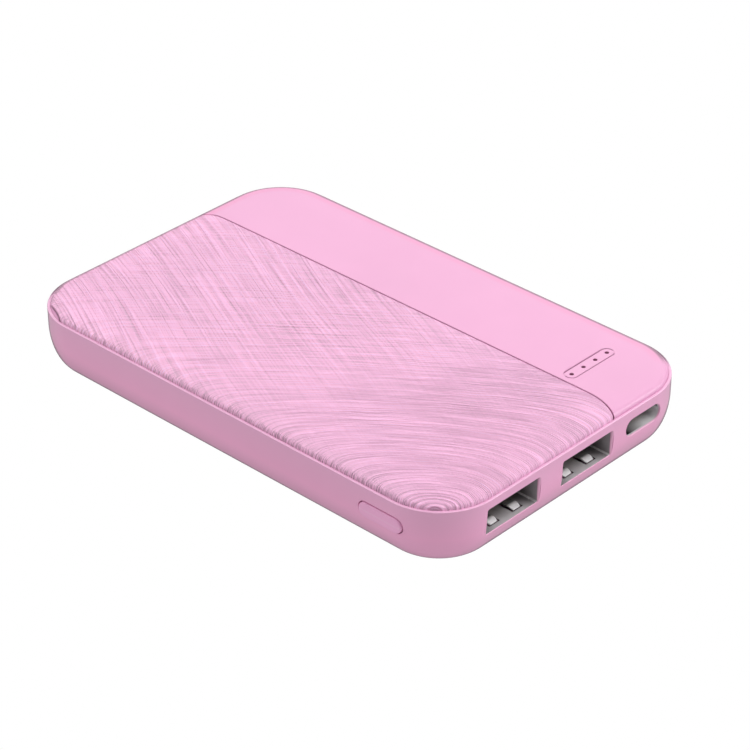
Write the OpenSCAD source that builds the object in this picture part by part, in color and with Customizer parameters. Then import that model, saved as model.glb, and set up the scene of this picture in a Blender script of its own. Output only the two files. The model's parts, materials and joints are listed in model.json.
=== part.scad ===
// Pocket power bank: two moulded shells round a flat lithium-polymer cell and a
// control board, with two USB-A outlets and one USB-C inlet on the end face,
// a power button on the side and a four-dot charge indicator on top.
// Millimetres. Origin at the centre of the underside, +Z up, ports on the -Y end,
// power button on the -X side.

/* [Case] */
// Width across the long sides
body_w = 65.5; // [65:0.5:68]
// Length from the port end to the far end
body_l = 101.5; // [101:0.5:106]
// Height of the crown of the top cover
body_t = 12.4; // [12.2:0.1:13]
// Corner radius of the plan outline
corner_r = 11.5; // [11.3:0.1:11.9]
// Height of the lip of the lower shell
rim_z = 11.3; // [11.2:0.05:11.5]
// How far the belly curve tucks in at the underside
belly_in = 3.9; // [3.6:0.1:4]
// Height at which the belly curve meets the upright side
belly_h = 8; // [7.8:0.1:8.2]
// Side wall thickness
wall = 1.6; // [1.5:0.05:1.7]
// Floor thickness
floor_t = 1.6; // [1.4:0.1:1.6]

/* [Top cover] */
// Distance of the cover seam from the centre line
seam_x = 12.6; // [12:0.1:12.8]
// Width of the seam round the textured panel
seam_gap = 0.2; // [0.15:0.05:0.3]
// Height of the floor of the panel pocket
pocket_z = 11.0; // [10.9:0.05:11.1]
// Corner radius of the panel at the port end
panel_near_r = 12.8; // [12:0.1:13]
// Corner radius of the panel at the far end
panel_far_r = 4.75; // [4:0.25:5.5]

/* [Ports] */
// Centre of the first USB-A outlet
usb_a_x1 = -15.8; // [-16:0.1:-15.6]
// Centre of the second USB-A outlet
usb_a_x2 = 3.0; // [2.9:0.1:3.2]
// Height of the USB-A centre line
usb_a_z = 7.1; // [7.05:0.05:7.15]
// Centre of the USB-C inlet
usb_c_x = 17.8; // [17.4:0.1:18]
// Height of the USB-C centre line
usb_c_z = 7.75; // [7.75:0.05:7.8]

/* [Power button] */
// Distance of the button centre from the port end
button_in = 13.9; // [13.7:0.1:14.1]
// Length of the button opening
button_len = 9.7; // [9.3:0.1:9.9]
// Height of the button opening
button_h = 3.2; // [3:0.1:3.3]
// Height of the button centre line
button_z = 7.0; // [6.95:0.05:7.05]
// How far the button stands proud of the side
button_proud = 0.25; // [0.1:0.05:0.4]

/* [Charge indicator] */
// Centre of the indicator across the case
ind_x = 19.8; // [19.6:0.1:20]
// Length of the indicator insert
ind_len = 12.2; // [12:0.1:12.4]
// Width of the indicator insert
ind_w = 2.6; // [2.4:0.1:2.8]
// Spacing of the four dots
dot_pitch = 3.16; // [3.1:0.02:3.2]
// Diameter of each dot
dot_d = 0.8; // [0.76:0.02:0.9]

/* [Cell] */
// Width of the pouch cell
cell_w = 54; // [52:0.5:54]
// Length of the pouch cell body
cell_l = 71.5; // [68:0.5:71.5]
// Thickness of the pouch cell
cell_t = 7.6; // [7:0.1:7.6]

/* [Hidden] */
$fn = 48;

// Case
half_w = body_w / 2;
half_l = body_l / 2;
port_y = -half_l;
ledge_z = 10.4;     // ledge that carries the cover
lip_w = 0.55;       // lip thickness above the ledge
cover_in = 0.6;     // inset of the cover edge
cover_under = 10.2; // underside of the cover
skirt_in = 1.9;     // inset of the cover's underside step
crown_h = body_t - rim_z;
adhesive_t = 0.1;
panel_z = pocket_z + adhesive_t;
hook_side_y = [-20, 5, 32]; // snap hooks along each long side
far_x = [-12, 12];          // snap hooks and ribs at the far end
far_rib_in = 5;
side_rib_x = 27.35;
rib_z0 = 1;                 // ribs start inside the floor

// Board
board_z = 4.9;
board_t = 1.2;
board_top = board_z + board_t;
board_y0 = port_y + 2.35;
board_y1 = port_y + 19.3;
board_half_w = half_w - 2.55;
board_corner_r = 9.3;
board_cut_z = [4, 8];       // height range of cuts through the board
row_y = port_y + 15.45;     // row of chips and inductor
inductor_x = (usb_a_x1 + usb_a_x2) / 2;
post_z = 0.8;
screw_z = 2.3;
screw_at = [
  [usb_a_x1 + 9.4, port_y + 4.75],
  [-half_w + 7.15, port_y + 6.75],
  [half_w - 4.9, port_y + 17.4]
];

// Button and tact switch
button_y = port_y + button_in;
switch_x = -half_w + 3.65;  // -X face of the switch body
switch_z = button_z + 0.1;  // centre line of the plunger

// Charge indicator
ind_y = port_y + 13.75;
ind_seat_z = 11.2;
dots = [for (i = [-1.5:1:1.5]) ind_x + i * dot_pitch];

// USB-A
usb_a_xs = [usb_a_x1, usb_a_x2];
usb_a_y = port_y + 0.75;
usb_a_w = 13.14;
usb_a_h = 5.72;
usb_a_len = 10.2;
usb_a_t = 0.3;
usb_a_back = usb_a_y + usb_a_len;
usb_a_floor = usb_a_z - usb_a_h / 2 + usb_a_t;
usb_a_pins = [-3.5, -1, 1, 3.5];
mouth_half_w = 6.5;
mouth_half_h = 2.45;
spring_x = 2.85;
spring_len = 5.65;          // shell mouth to spring root

// USB-C
usb_c_y = port_y + 0.65;
usb_c_w = 8.94;
usb_c_h = 3.2;
usb_c_len = 7.3;
usb_c_t = 0.3;
usb_c_back = usb_c_y + usb_c_len;
usb_c_pins = [-2.75:0.5:2.75];

// Cell
cell_z = 2.0;
cell_y0 = port_y + 24.75;
cell_y1 = cell_y0 + cell_l;
tab_z = 5.6;                // underside of the terrace that carries the tabs
tab_t = 0.12;
tab_top = 7.66;
guard_z = 6.9;              // underside of the protection board
guard_top = guard_z + 0.6;
guard_w = 36;

pink = [0.98, 0.76, 0.88];
pink_panel = [0.93, 0.72, 0.84];
steel = [0.72, 0.71, 0.73];
gold = [0.85, 0.68, 0.35];
black = [0.1, 0.1, 0.11];
chip_black = [0.13, 0.13, 0.14];
board_green = [0.1, 0.32, 0.2];
adhesive = [0.93, 0.9, 0.8];

// ---------- shared shapes ----------

// Quarter-ellipse side curve as [inset, height] points, rising from z0
function belly(tuck, rise, z0, inset, steps) =
  [for (i = [0:steps]) let (angle = 90 * i / steps)
    [inset + tuck * (1 - sin(angle)), z0 + rise * (1 - cos(angle))]];

// Symmetric cross-section from an edge profile and a half width
function section(profile, half) = concat(
  [for (p = profile) [half - p[0], p[1]]],
  [for (i = [len(profile) - 1:-1:0]) [-(half - profile[i][0]), profile[i][1]]]);

// Edge profiles, all [inset from the case outline, height]
outer_profile = concat(belly(belly_in, belly_h, 0, 0, 9), [[0, rim_z - 0.25], [0.25, rim_z]]);
cavity_profile = concat(
  belly(belly_in - 1.3, belly_h - floor_t, floor_t, wall, 8),
  [[wall, ledge_z], [lip_w, ledge_z], [lip_w, rim_z + 1]]);
// Crown of the cover: [inset, fraction of crown_h above the rim]
crown_steps = [
  [cover_in, 0.05], [0.72, 0.38], [0.98, 0.59], [1.5, 0.71], [3.2, 0.87], [6, 0.965], [8, 1]
];
// Crown profile from height z0, drawn in by inset
function crown(z0, inset = 0) = concat(
  [[cover_in + inset, z0]],
  [for (p = crown_steps) [p[0] + inset, rim_z + p[1] * crown_h]]);

// Solid whose plan is the rounded case outline and whose edge follows a profile
module round_body(profile) {
  mid_x = half_w - corner_r;
  mid_y = half_l - corner_r;
  z0 = profile[0][1];
  z1 = profile[len(profile) - 1][1];
  for (k = [0:3])
    translate([(k == 0 || k == 3) ? mid_x : -mid_x, (k < 2) ? mid_y : -mid_y, 0])
      rotate([0, 0, 90 * k])
        rotate_extrude(angle = 90)
          polygon(concat([[0, z0]], [for (p = profile) [corner_r - p[0], p[1]]], [[0, z1]]));
  rotate([90, 0, 0])
    linear_extrude(height = 2 * mid_y, center = true) polygon(section(profile, half_w));
  rotate([90, 0, 90])
    linear_extrude(height = 2 * mid_x, center = true) polygon(section(profile, half_l));
}

// Block between two opposite corners
module box(low, high) translate(low) cube(high - low);

// Block centred on x, with y and z given as [low, high]
module mid_box(x, width, y, z)
  box([x - width / 2, y[0], z[0]], [x + width / 2, y[1], z[1]]);

// Mirrored pair of blocks, one on each long side, x0 to x1 from the centre line
module side_boxes(x0, x1, y, z)
  for (side = [-1, 1]) mid_box(side * (x0 + x1) / 2, x1 - x0, y, z);

module stadium(width, height) {
  square([width - height, height], center = true);
  for (side = [-1, 1]) translate([side * (width - height) / 2, 0]) circle(d = height);
}

// Flat shape in the X-Z plane, extruded from y0 to y1
module along_y(y0, y1)
  translate([0, y1, 0]) rotate([90, 0, 0]) linear_extrude(height = y1 - y0) children();

// Flat shape in the Y-Z plane, extruded from x0 to x1
module along_x(x0, x1)
  translate([x0, 0, 0]) rotate([90, 0, 90]) linear_extrude(height = x1 - x0) children();

module at_screws(z) for (p = screw_at) translate([p[0], p[1], z]) children();
module at_dots(z) for (x = dots) translate([x, ind_y, z]) children();

// Block round the row of dots, with a margin in x and y
module dot_bar(margin_x, margin_y, z)
  box([dots[0] - margin_x, ind_y - margin_y, z[0]], [dots[3] + margin_x, ind_y + margin_y, z[1]]);

// Waste outside a rounded corner; toward gives the signs of the corner's direction
module corner_waste(centre, toward, radius) {
  reach = 20; // past the case outline
  translate(centre) difference() {
    translate([toward[0] > 0 ? 0 : -reach, toward[1] > 0 ? 0 : -reach]) square(reach);
    circle(r = radius);
  }
}

// Area of the textured panel in plan; inset draws every seam edge in
module panel_area(inset) {
  over = 5; // past the case outline
  left_in = corner_r + 1.05;
  difference() {
    translate([-half_w - over, port_y - over])
      square([half_w + over + seam_x - inset, body_l + 2 * over]);
    corner_waste([seam_x - panel_near_r, port_y + 7.75], [1, -1], panel_near_r - inset);
    corner_waste([seam_x - panel_far_r, half_l - 4.75], [1, 1], panel_far_r - inset);
    corner_waste([-half_w + left_in, half_l - left_in], [-1, 1], corner_r + 0.5 - inset);
  }
}

// ---------- shells ----------

module usb_a_cut(x) {
  mid_box(x, 2 * mouth_half_w, [port_y - 1, port_y + 2.5],
    [usb_a_z - mouth_half_h, usb_a_z + mouth_half_h]);
  // seat of the metal shell
  mid_box(x, 13.4, [usb_a_y, port_y + 3], [usb_a_z - 3, usb_a_z + 3]);
  // relief under the springs
  for (side = [-1, 1])
    mid_box(x + side * spring_x, 3.2, [port_y + 1.25, port_y + 4], [3.3, 4.3]);
  // 45 degree bevel round the mouth
  y0 = port_y - 0.2;
  y1 = port_y + 0.5;
  w0 = mouth_half_w + 0.6;
  w1 = mouth_half_w - 0.1;
  h0 = mouth_half_h + 0.6;
  h1 = mouth_half_h - 0.1;
  intersection() {
    translate([x, 0, 0]) linear_extrude(height = 14)
      polygon([[-w0, y0], [w0, y0], [w1, y1], [-w1, y1]]);
    along_x(x - 8, x + 8)
      polygon([[y0, usb_a_z - h0], [y0, usb_a_z + h0], [y1, usb_a_z + h1], [y1, usb_a_z - h1]]);
  }
}

// Slots in the side and far walls that take the snap hooks
module snap_slots() {
  slot_in = 1.15;
  half_len = 3.3;
  slot_z = [8.65, 9.75];
  for (y = hook_side_y)
    side_boxes(half_w - wall - 0.2, half_w - slot_in, [y - half_len, y + half_len], slot_z);
  for (x = far_x) mid_box(x, 2 * half_len, [half_l - wall - 0.2, half_l - slot_in], slot_z);
}

module case_ribs() {
  for (y = [-12, 18]) side_boxes(side_rib_x, half_w - 2.25, [y - 0.6, y + 0.6], [rib_z0, 8.4]);
  for (x = usb_a_xs) mid_box(x, 10, [port_y + 7.6, port_y + 8.6], [rib_z0, 4.2]);
  for (x = far_x)
    mid_box(x, 10, [half_l - far_rib_in, half_l - far_rib_in + 1], [rib_z0, 6]);
}

module bottom_case() color(pink) difference() {
  union() {
    difference() {
      round_body(outer_profile);
      round_body(cavity_profile);
    }
    at_screws(post_z) cylinder(r = 2.2, h = board_z - post_z);
    case_ribs();
  }
  at_screws(2) cylinder(r = 0.87, h = 6);
  for (x = usb_a_xs) usb_a_cut(x);
  translate([usb_c_x, 0, usb_c_z]) along_y(port_y - 1, port_y + 3) stadium(9.4, 3.45);
  translate([0, button_y, button_z])
    along_x(-half_w - 1, -half_w + 3) stadium(button_len, button_h);
  snap_slots();
}

// Snap hook pointing along +X, with its back at x = 0
module snap_hook() {
  hook_len = 6;
  box([-0.8, -hook_len / 2, 8.75], [0, hook_len / 2, cover_under + 0.3]);
  rotate([90, 0, 0])
    linear_extrude(height = hook_len, center = true)
      polygon([[-0.1, 8.8], [0.55, 9.35], [0.55, 9.6], [-0.1, 9.6]]);
}

module top_cover() color(pink) difference() {
  union() {
    round_body(crown(ledge_z + 0.02));
    round_body([[skirt_in, cover_under], [skirt_in, ledge_z + 0.2]]);
    for (y = hook_side_y) {
      translate([half_w - skirt_in, y, 0]) snap_hook();
      translate([-half_w + skirt_in, y, 0]) rotate([0, 0, 180]) snap_hook();
    }
    for (x = far_x) translate([x, half_l - skirt_in, 0]) rotate([0, 0, 90]) snap_hook();
  }
  translate([0, 0, pocket_z]) linear_extrude(height = 4) panel_area(0);
  // recess in the underside beside the panel
  box([seam_x + 1, port_y + 6, cover_under - 1], [half_w - 3.55, half_l - 6, 10.8]);
  translate([ind_x, ind_y, ind_seat_z]) linear_extrude(height = 4) stadium(ind_len, ind_w);
  at_dots(10) cylinder(d = dot_d + 0.3, h = 3);
}

module texture_panel() color(pink_panel) intersection() {
  round_body(crown(panel_z, 0.02));
  translate([0, 0, panel_z]) linear_extrude(height = 4) panel_area(seam_gap);
}

module panel_adhesive() color(adhesive)
  for (x = [[-half_w + 6, -half_w + 14], [-8, seam_x - 6]])
    box([x[0], port_y + 6, pocket_z], [x[1], half_l - 10, panel_z]);

module indicator_plate() color(pink) difference() {
  translate([ind_x, ind_y, ind_seat_z])
    linear_extrude(height = body_t - 0.03 - ind_seat_z) stadium(ind_len - 0.3, ind_w - 0.3);
  at_dots(11) cylinder(d = dot_d, h = 3);
}

// Lower pillars, a joining bar and upper pins
module light_guide() color([0.95, 0.9, 0.93]) {
  pin_z = 10.5;
  at_dots(6.95) cylinder(r = 0.8, h = 3);
  at_dots(pin_z) cylinder(d = dot_d - 0.08, h = body_t - 0.12 - pin_z);
  dot_bar(1.1, 1.1, [9.75, 10.75]);
}

module light_gasket() color([0.15, 0.15, 0.16]) difference() {
  dot_bar(1.9, 2.1, [board_top + 0.02, 8.9]);
  at_dots(board_top - 1) cylinder(r = 1.35, h = 5);
}

// ---------- power button and tact switch ----------

// Cap, retaining flange and the nub that faces the plunger
module power_button() color(pink) translate([0, button_y, button_z]) {
  along_x(-half_w - button_proud, -half_w + 2.25) stadium(button_len - 0.2, button_h - 0.2);
  along_x(-half_w + 2.15, -half_w + 2.75) stadium(button_len + 0.7, button_h + 0.9);
  translate([-half_w + 2.7, 0, switch_z - button_z])
    rotate([0, 90, 0]) cylinder(r = 0.9, h = 0.12);
}

// Block with x measured from the switch face and centred offset_y from the button
module switch_box(x, length, z, offset_y = 0)
  box([switch_x + x[0], button_y + offset_y - length / 2, z[0]],
    [switch_x + x[1], button_y + offset_y + length / 2, z[1]]);

module switch_body() color([0.12, 0.12, 0.13]) difference() {
  switch_box([0, 3.2], 6, [board_top + 0.05, board_top + 2.1]);
  switch_box([-1, 1.6], 3.5, [switch_z - 0.8, switch_z + 0.8]);
}

module switch_plunger() color([0.9, 0.88, 0.84]) {
  switch_box([-0.8, 0.45], 2.4, [switch_z - 0.65, switch_z + 0.65]);
  switch_box([0.4, 0.8], 3.2, [switch_z - 0.7, switch_z + 0.7]);
}

// Domed disc on the plunger axis; points are [radius, height]
module switch_dome() color(steel)
  translate([switch_x + 1.55, button_y, switch_z]) rotate([0, -90, 0])
    rotate_extrude()
      polygon([
        [0, 0.3], [0.35, 0.28], [0.6, 0.12], [0.68, 0],
        [0.6, 0], [0.5, 0.08], [0.3, 0.2], [0, 0.22]
      ]);

// Legs of the switch frame, also cut from the board with a gap in x
module switch_legs(thickness, gap, z)
  for (side = [-1, 1]) switch_box([0.3 - gap, 1.5 + gap], thickness, z, side * 3.1);

module switch_frame() color(steel) {
  switch_box([0.3, 3.2], 6.3, [board_top + 2.12, board_top + 2.27]);
  switch_legs(0.16, 0, [board_top - 0.9, board_top + 2.2]);
}

module switch_terminals() color(steel) for (side = [-1, 1]) {
  switch_box([3.22, 4.3], 0.8, [board_top, board_top + 0.2], side * 1.9);
  switch_box([3.22, 3.4], 0.8, [board_top, board_top + 0.8], side * 1.9);
}

// ---------- board and its parts ----------

// Plan with two rounded corners at the port end
module board_outline() {
  depth = 20; // runs past board_y1, where it is trimmed
  mid_x = board_half_w - board_corner_r;
  intersection() {
    translate([-half_w, port_y]) square([body_w, board_y1 - port_y]);
    union() {
      translate([-board_half_w, board_y0 + board_corner_r]) square([2 * board_half_w, depth]);
      translate([-mid_x, board_y0]) square([2 * mid_x, depth]);
      for (side = [-1, 1])
        translate([side * mid_x, board_y0 + board_corner_r]) circle(r = board_corner_r);
    }
  }
}

module main_board() color(board_green) difference() {
  translate([0, 0, board_z]) linear_extrude(height = board_t) board_outline();
  for (x = usb_a_xs) mid_box(x, 13.5, [port_y, usb_a_back + 0.2], board_cut_z);
  // notch behind the button
  box([-half_w, button_y - 6.1, board_cut_z[0]], [-half_w + 3.45, button_y + 8, board_cut_z[1]]);
  at_screws(board_cut_z[0]) cylinder(r = 1.1, h = 4);
  switch_legs(0.4, 0.1, board_cut_z);
  usb_c_tabs(0.6, 0.2, board_cut_z);
}

// Cross-head screws
module board_screws() color([0.35, 0.35, 0.37]) at_screws(0) difference() {
  union() {
    translate([0, 0, screw_z]) cylinder(r = 0.85, h = board_top - screw_z + 0.1);
    translate([0, 0, board_top + 0.01]) cylinder(r = 1.65, h = 0.95);
  }
  for (angle = [0, 90])
    rotate([0, 0, angle]) translate([-0.9, -0.2, board_top + 0.5]) cube([1.8, 0.4, 1]);
}

// Block of the given size, centred on x and y and standing on z
module chip(x, y, size, z = board_top)
  translate([x - size[0] / 2, y - size[1] / 2, z]) cube(size);

// Gull-wing package in the chip row, with leads along its -Y and +Y edges
module gull_wing(x, width, leads) {
  body = [width, 3.9, 1.45];
  lead = [0.4, 1, 0.25];
  pitch = 1.27;
  chip(x, row_y, body, board_top + 0.1);
  for (side = [-1, 1], i = [0:leads - 1])
    chip(x + (i - (leads - 1) / 2) * pitch, row_y + side * (body[1] / 2 + 0.4), lead);
}

module control_chip() color(chip_black) gull_wing(usb_a_x1 - 1.7, 9.9, 7);
module charge_chip() color(chip_black) gull_wing(usb_a_x2 + 1.8, 4.9, 4);

// Drum core: two flanges on a post
module inductor_core() color([0.25, 0.25, 0.27])
  translate([inductor_x, row_y, board_top + 0.02]) {
    cylinder(r = 3.3, h = 0.7);
    cylinder(r = 1.6, h = 3.2);
    translate([0, 0, 2.5]) cylinder(r = 3.3, h = 0.7);
  }

// Winding with the outer turns showing as ridges
module inductor_coil() color([0.72, 0.4, 0.2])
  translate([inductor_x, row_y, board_top + 0.77]) rotate_extrude() {
    translate([1.65, 0.12]) square([1.2, 1.44]);
    for (i = [0:3]) translate([2.85, 0.2 + 0.42 * i]) circle(r = 0.19);
  }

module ceramic_capacitors() color([0.72, 0.6, 0.46]) {
  for (y = [-37.3, -35.6, -33.9]) chip(-23.4, y, [1, 0.9, 0.7]);
  for (i = [0:2]) chip(usb_a_x2 + 7.6, row_y - 2.2 + 2.1 * i, [2, 1.25, 0.9]);
  chip(usb_c_x + 6.4, port_y + 5.2, [1.25, 2, 0.8]);
  chip(usb_c_x - 6.2, port_y + 5.4, [1.25, 2, 0.8]);
}

// Hung under the board
module output_capacitors() color([0.78, 0.72, 0.6]) {
  size = [3.2, 1.6, 1.4];
  for (x = [usb_a_x1 - 1, usb_a_x1 + 3, usb_a_x2 - 1.5, usb_a_x2 + 2.5])
    chip(x, row_y - 1.5, size, board_z - size[2]);
}

module resistors() color(black) {
  size = [1.6, 0.8, 0.45];
  for (x = dots) chip(x, ind_y + 3.5, [size[1], size[0], size[2]]);
  for (i = [0:2]) chip(inductor_x + 4 + 1.9 * i, row_y + 2.9, size);
  for (i = [0:1]) chip(usb_c_x - 2 + 3 * i, port_y + 10.9, size);
}

module status_leds() color([0.95, 0.95, 0.85]) {
  base_h = 0.3;
  for (x = dots) chip(x, ind_y, [1.6, 0.8, base_h]);
  at_dots(board_top + base_h) cylinder(r = 0.38, h = 0.3);
}

// ---------- USB-A outlets ----------

module usb_a_shell(x) color(steel) difference() {
  union() {
    mid_box(x, usb_a_w, [usb_a_y, usb_a_back], [usb_a_z - usb_a_h / 2, usb_a_z + usb_a_h / 2]);
    // tabs resting on the board
    mid_box(x, usb_a_w + 2.6, [port_y + 8.2, port_y + 9.8], [board_top, board_top + 0.3]);
  }
  mid_box(x, usb_a_w - 2 * usb_a_t, [usb_a_y - 1, usb_a_back - usb_a_t],
    [usb_a_floor, usb_a_z + usb_a_h / 2 - usb_a_t]);
  // windows in the floor for the springs
  for (side = [-1, 1])
    mid_box(x + side * spring_x, 2.6, [usb_a_y + 0.75, usb_a_y + spring_len],
      [3, usb_a_floor + 0.1]);
  // slots in the back wall for the contact tails
  for (pin = usb_a_pins)
    mid_box(x + pin, 1.2, [usb_a_back - 1, usb_a_back + 1], [usb_a_z - 0.3, usb_a_z + 0.25]);
}
module usb_a_shell_left() usb_a_shell(usb_a_x1);
module usb_a_shell_right() usb_a_shell(usb_a_x2);

// Tongue and its back block, grooved for the contacts
module usb_a_tongue(x) color(black) difference() {
  union() {
    mid_box(x, 11.1, [usb_a_y + 1.5, usb_a_back - 0.8], [usb_a_z, usb_a_z + 1.84]);
    mid_box(x, 12.4, [usb_a_back - 1.3, usb_a_back - usb_a_t - 0.05],
      [usb_a_z - 2.5, usb_a_z + 2.5]);
  }
  for (pin = usb_a_pins)
    mid_box(x + pin, 1.1, [usb_a_y + 1.9, usb_a_back], [usb_a_z - 0.25, usb_a_z + 0.12]);
}
module usb_a_tongue_left() usb_a_tongue(usb_a_x1);
module usb_a_tongue_right() usb_a_tongue(usb_a_x2);

// Blade, drop behind the shell and foot on the board
module usb_a_contacts(x) color(gold) {
  drop_y = usb_a_back + 0.4;
  foot_z = board_top + 0.01;
  for (pin = usb_a_pins) {
    mid_box(x + pin, 1, [usb_a_y + 2.1, drop_y + 0.2], [usb_a_z - 0.12, usb_a_z + 0.08]);
    mid_box(x + pin, 1, [drop_y, drop_y + 0.2], [foot_z, usb_a_z]);
    mid_box(x + pin, 1, [drop_y, drop_y + 1.1], [foot_z, board_top + 0.2]);
  }
}
module usb_a_contacts_left() usb_a_contacts(usb_a_x1);
module usb_a_contacts_right() usb_a_contacts(usb_a_x2);

// Spring finger outline: [y from the shell mouth, z from the shell's inner floor]
spring_outline = [
  [spring_len - 0.05, -usb_a_t], [spring_len - 0.05, 0], [5.2, 0], [3.4, 0.3], [2.4, 0.52],
  [2.05, 0.55], [1.7, 0.48], [0.95, 0.1], [0.9, -0.12], [1.1, -0.1], [1.8, 0.24],
  [2.05, 0.3], [2.4, 0.27], [3.4, 0.04], [5.1, -usb_a_t]
];

// Two stamped fingers that press on the plug; each rises to a crest and dips at its tip
module usb_a_springs(x) color(steel)
  for (side = [-1, 1])
    along_x(x + side * spring_x - 1, x + side * spring_x + 1)
      polygon([for (p = spring_outline) [usb_a_y + p[0], usb_a_floor + p[1]]]);
module usb_a_springs_left() usb_a_springs(usb_a_x1);
module usb_a_springs_right() usb_a_springs(usb_a_x2);

// ---------- USB-C inlet ----------

// Four mounting tabs of the shell, also cut from the board with a gap in y
module usb_c_tabs(thickness, gap, z)
  for (side = [-1, 1], y = [usb_c_y + 1.6, usb_c_y + 5.4])
    mid_box(usb_c_x + side * (usb_c_w / 2 - 0.15), thickness, [y - gap, y + 1 + gap], z);

module usb_c_shell() color(steel) {
  translate([usb_c_x, 0, usb_c_z]) difference() {
    along_y(usb_c_y, usb_c_back) stadium(usb_c_w, usb_c_h);
    along_y(usb_c_y - 1, usb_c_back - usb_c_t)
      stadium(usb_c_w - 2 * usb_c_t, usb_c_h - 2 * usb_c_t);
    mid_box(0, 6.4, [usb_c_back - 1, usb_c_back + 1], [-0.8, 0.8]);
  }
  usb_c_tabs(0.24, 0, [board_z - 0.4, usb_c_z]);
}

module usb_c_tongue() color(black) translate([usb_c_x, 0, usb_c_z]) difference() {
  union() {
    mid_box(0, 6.7, [usb_c_y + 1.2, usb_c_back - 1], [-0.35, 0.35]);
    mid_box(0, 7.4, [usb_c_back - 1.6, usb_c_back - 0.35], [-0.9, 0.9]);
  }
  for (groove_z = [[-1.6, -0.28], [0.28, 1.6]], x = usb_c_pins)
    mid_box(x, 0.3, [usb_c_y + 1.5, usb_c_back], groove_z);
}

// Lower and upper rows of blades; the upper row drops further back
module usb_c_contacts() color(gold) translate([usb_c_x, 0, usb_c_z]) {
  pin_w = 0.24;
  foot_z = board_top + 0.01 - usb_c_z;
  // [blade z range, overhang behind the shell]
  for (row = [[[-0.4, -0.3], 0.6], [[0.3, 0.4], 1.3]], x = usb_c_pins) {
    blade_z = row[0];
    back = usb_c_back + row[1];
    mid_box(x, pin_w, [usb_c_y + 1.55, back], blade_z);
    mid_box(x, pin_w, [back - 0.12, back], [foot_z, blade_z[1]]);
    mid_box(x, pin_w, [back - 0.12, back + 0.35], [foot_z, foot_z + 0.11]);
  }
}

// ---------- cell and its protection board ----------

module battery_cell() color([0.78, 0.79, 0.8]) {
  edge = 1.2;   // height of the taper at each face
  face_r = 2.2;
  far_r = 3;
  // end: [y, corner radius]; face: [z, offset to the narrower face]
  hull()
    for (side = [-1, 1],
         end = [[cell_y0 + face_r, face_r], [cell_y1 - far_r, far_r]],
         face = [[cell_z + edge, -edge], [cell_z + cell_t - edge, edge - 0.01]])
      translate([side * (cell_w / 2 - far_r), end[0], face[0]]) {
        cylinder(r = end[1], h = 0.01, $fn = 24);
        translate([0, 0, face[1]]) cylinder(r = face_r, h = 0.01, $fn = 24);
      }
  // terrace at the port end
  mid_box(0, cell_w - 4, [cell_y0 - 4.2, cell_y0 + 1], [tab_z, tab_z + 0.3]);
}

// Foil tab that leaves the terrace, folds up and back over the protection board
module folded_tab(x) {
  fold_y = cell_y0 - 4.6;
  z0 = tab_z + 0.31;
  mid_box(x, 4, [fold_y, cell_y0 - 3.4], [z0, z0 + tab_t]);
  mid_box(x, 4, [fold_y, fold_y + tab_t], [z0, tab_top]);
  mid_box(x, 4, [fold_y, cell_y0 - 2.4], [tab_top - tab_t, tab_top]);
}
module positive_tab() color([0.85, 0.85, 0.87]) folded_tab(-7.6);
module negative_tab() color([0.7, 0.68, 0.62]) folded_tab(7.6);

module protection_tape() color([0.9, 0.7, 0.25])
  mid_box(0, guard_w, [cell_y0 - 3.3, cell_y0 - 0.6], [tab_z + 0.45, guard_z - 0.05]);
module protection_board() color(board_green)
  mid_box(0, guard_w, [cell_y0 - 4.2, cell_y0 - 0.5], [guard_z, guard_top]);
module protection_chips() color(chip_black) {
  y = cell_y0 - 2.2;
  chip(0, y, [3, 2.6, 1], guard_top);
  chip(4.4, y, [1.6, 2.6, 1], guard_top);
  for (x = [-4.5, -3.2]) chip(x, y, [0.6, 1, 0.5], guard_top);
}

// Insulated wire from the protection board down on to the main board
module lead(x) {
  wire_r = 0.65;
  bend_r = 1;
  run = 4.35;
  run_z = 8.2;
  foot_z = board_top + 0.05;
  bend_z = run_z - bend_r;
  start_y = cell_y0 - 2;
  translate([x, start_y, run_z]) rotate([90, 0, 0]) cylinder(r = wire_r, h = run);
  translate([x, start_y - run, bend_z]) rotate([90, 0, -90])
    rotate_extrude(angle = 90) translate([bend_r, 0]) circle(r = wire_r);
  translate([x, start_y - run - bend_r, foot_z]) cylinder(r = wire_r, h = bend_z - foot_z);
}
module red_lead() color([0.8, 0.1, 0.1]) lead(-11.1);
module black_lead() color([0.08, 0.08, 0.08]) lead(13.1);

module cell_adhesive_pads() color(adhesive)
  for (x = [-14, 14])
    mid_box(x, 12, [cell_y0 + 6, cell_y1 - 8], [floor_t + 0.02, cell_z - 0.02]);
module foam_strips() color([0.2, 0.2, 0.22])
  for (y = [cell_y0 + 8, cell_y1 - 14])
    box([-20, y, cell_z + cell_t + 0.05], [11, y + 6, cover_under - 0.05]);

bottom_case();
top_cover();
texture_panel();
panel_adhesive();
indicator_plate();
light_guide();
light_gasket();
power_button();
switch_body();
switch_plunger();
switch_frame();
switch_dome();
switch_terminals();
main_board();
board_screws();
control_chip();
charge_chip();
inductor_core();
inductor_coil();
ceramic_capacitors();
output_capacitors();
resistors();
status_leds();
usb_a_shell_left();
usb_a_shell_right();
usb_a_tongue_left();
usb_a_tongue_right();
usb_a_contacts_left();
usb_a_contacts_right();
usb_a_springs_left();
usb_a_springs_right();
usb_c_shell();
usb_c_tongue();
usb_c_contacts();
battery_cell();
positive_tab();
negative_tab();
protection_board();
protection_chips();
protection_tape();
red_lead();
black_lead();
cell_adhesive_pads();
foam_strips();
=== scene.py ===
"""A flat pink power bank lying on its base, centred on x and y with z up from the floor.

Two USB-A sockets and a USB-C socket open in the front (-y) face and the power button sits in
the left (-x) face. A ridged panel covers most of the top; a smooth strip with four indicator
holes runs along its right (+x) edge. Geometry is written in millimetres, shader lengths in metres.
"""
import json
import math

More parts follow.
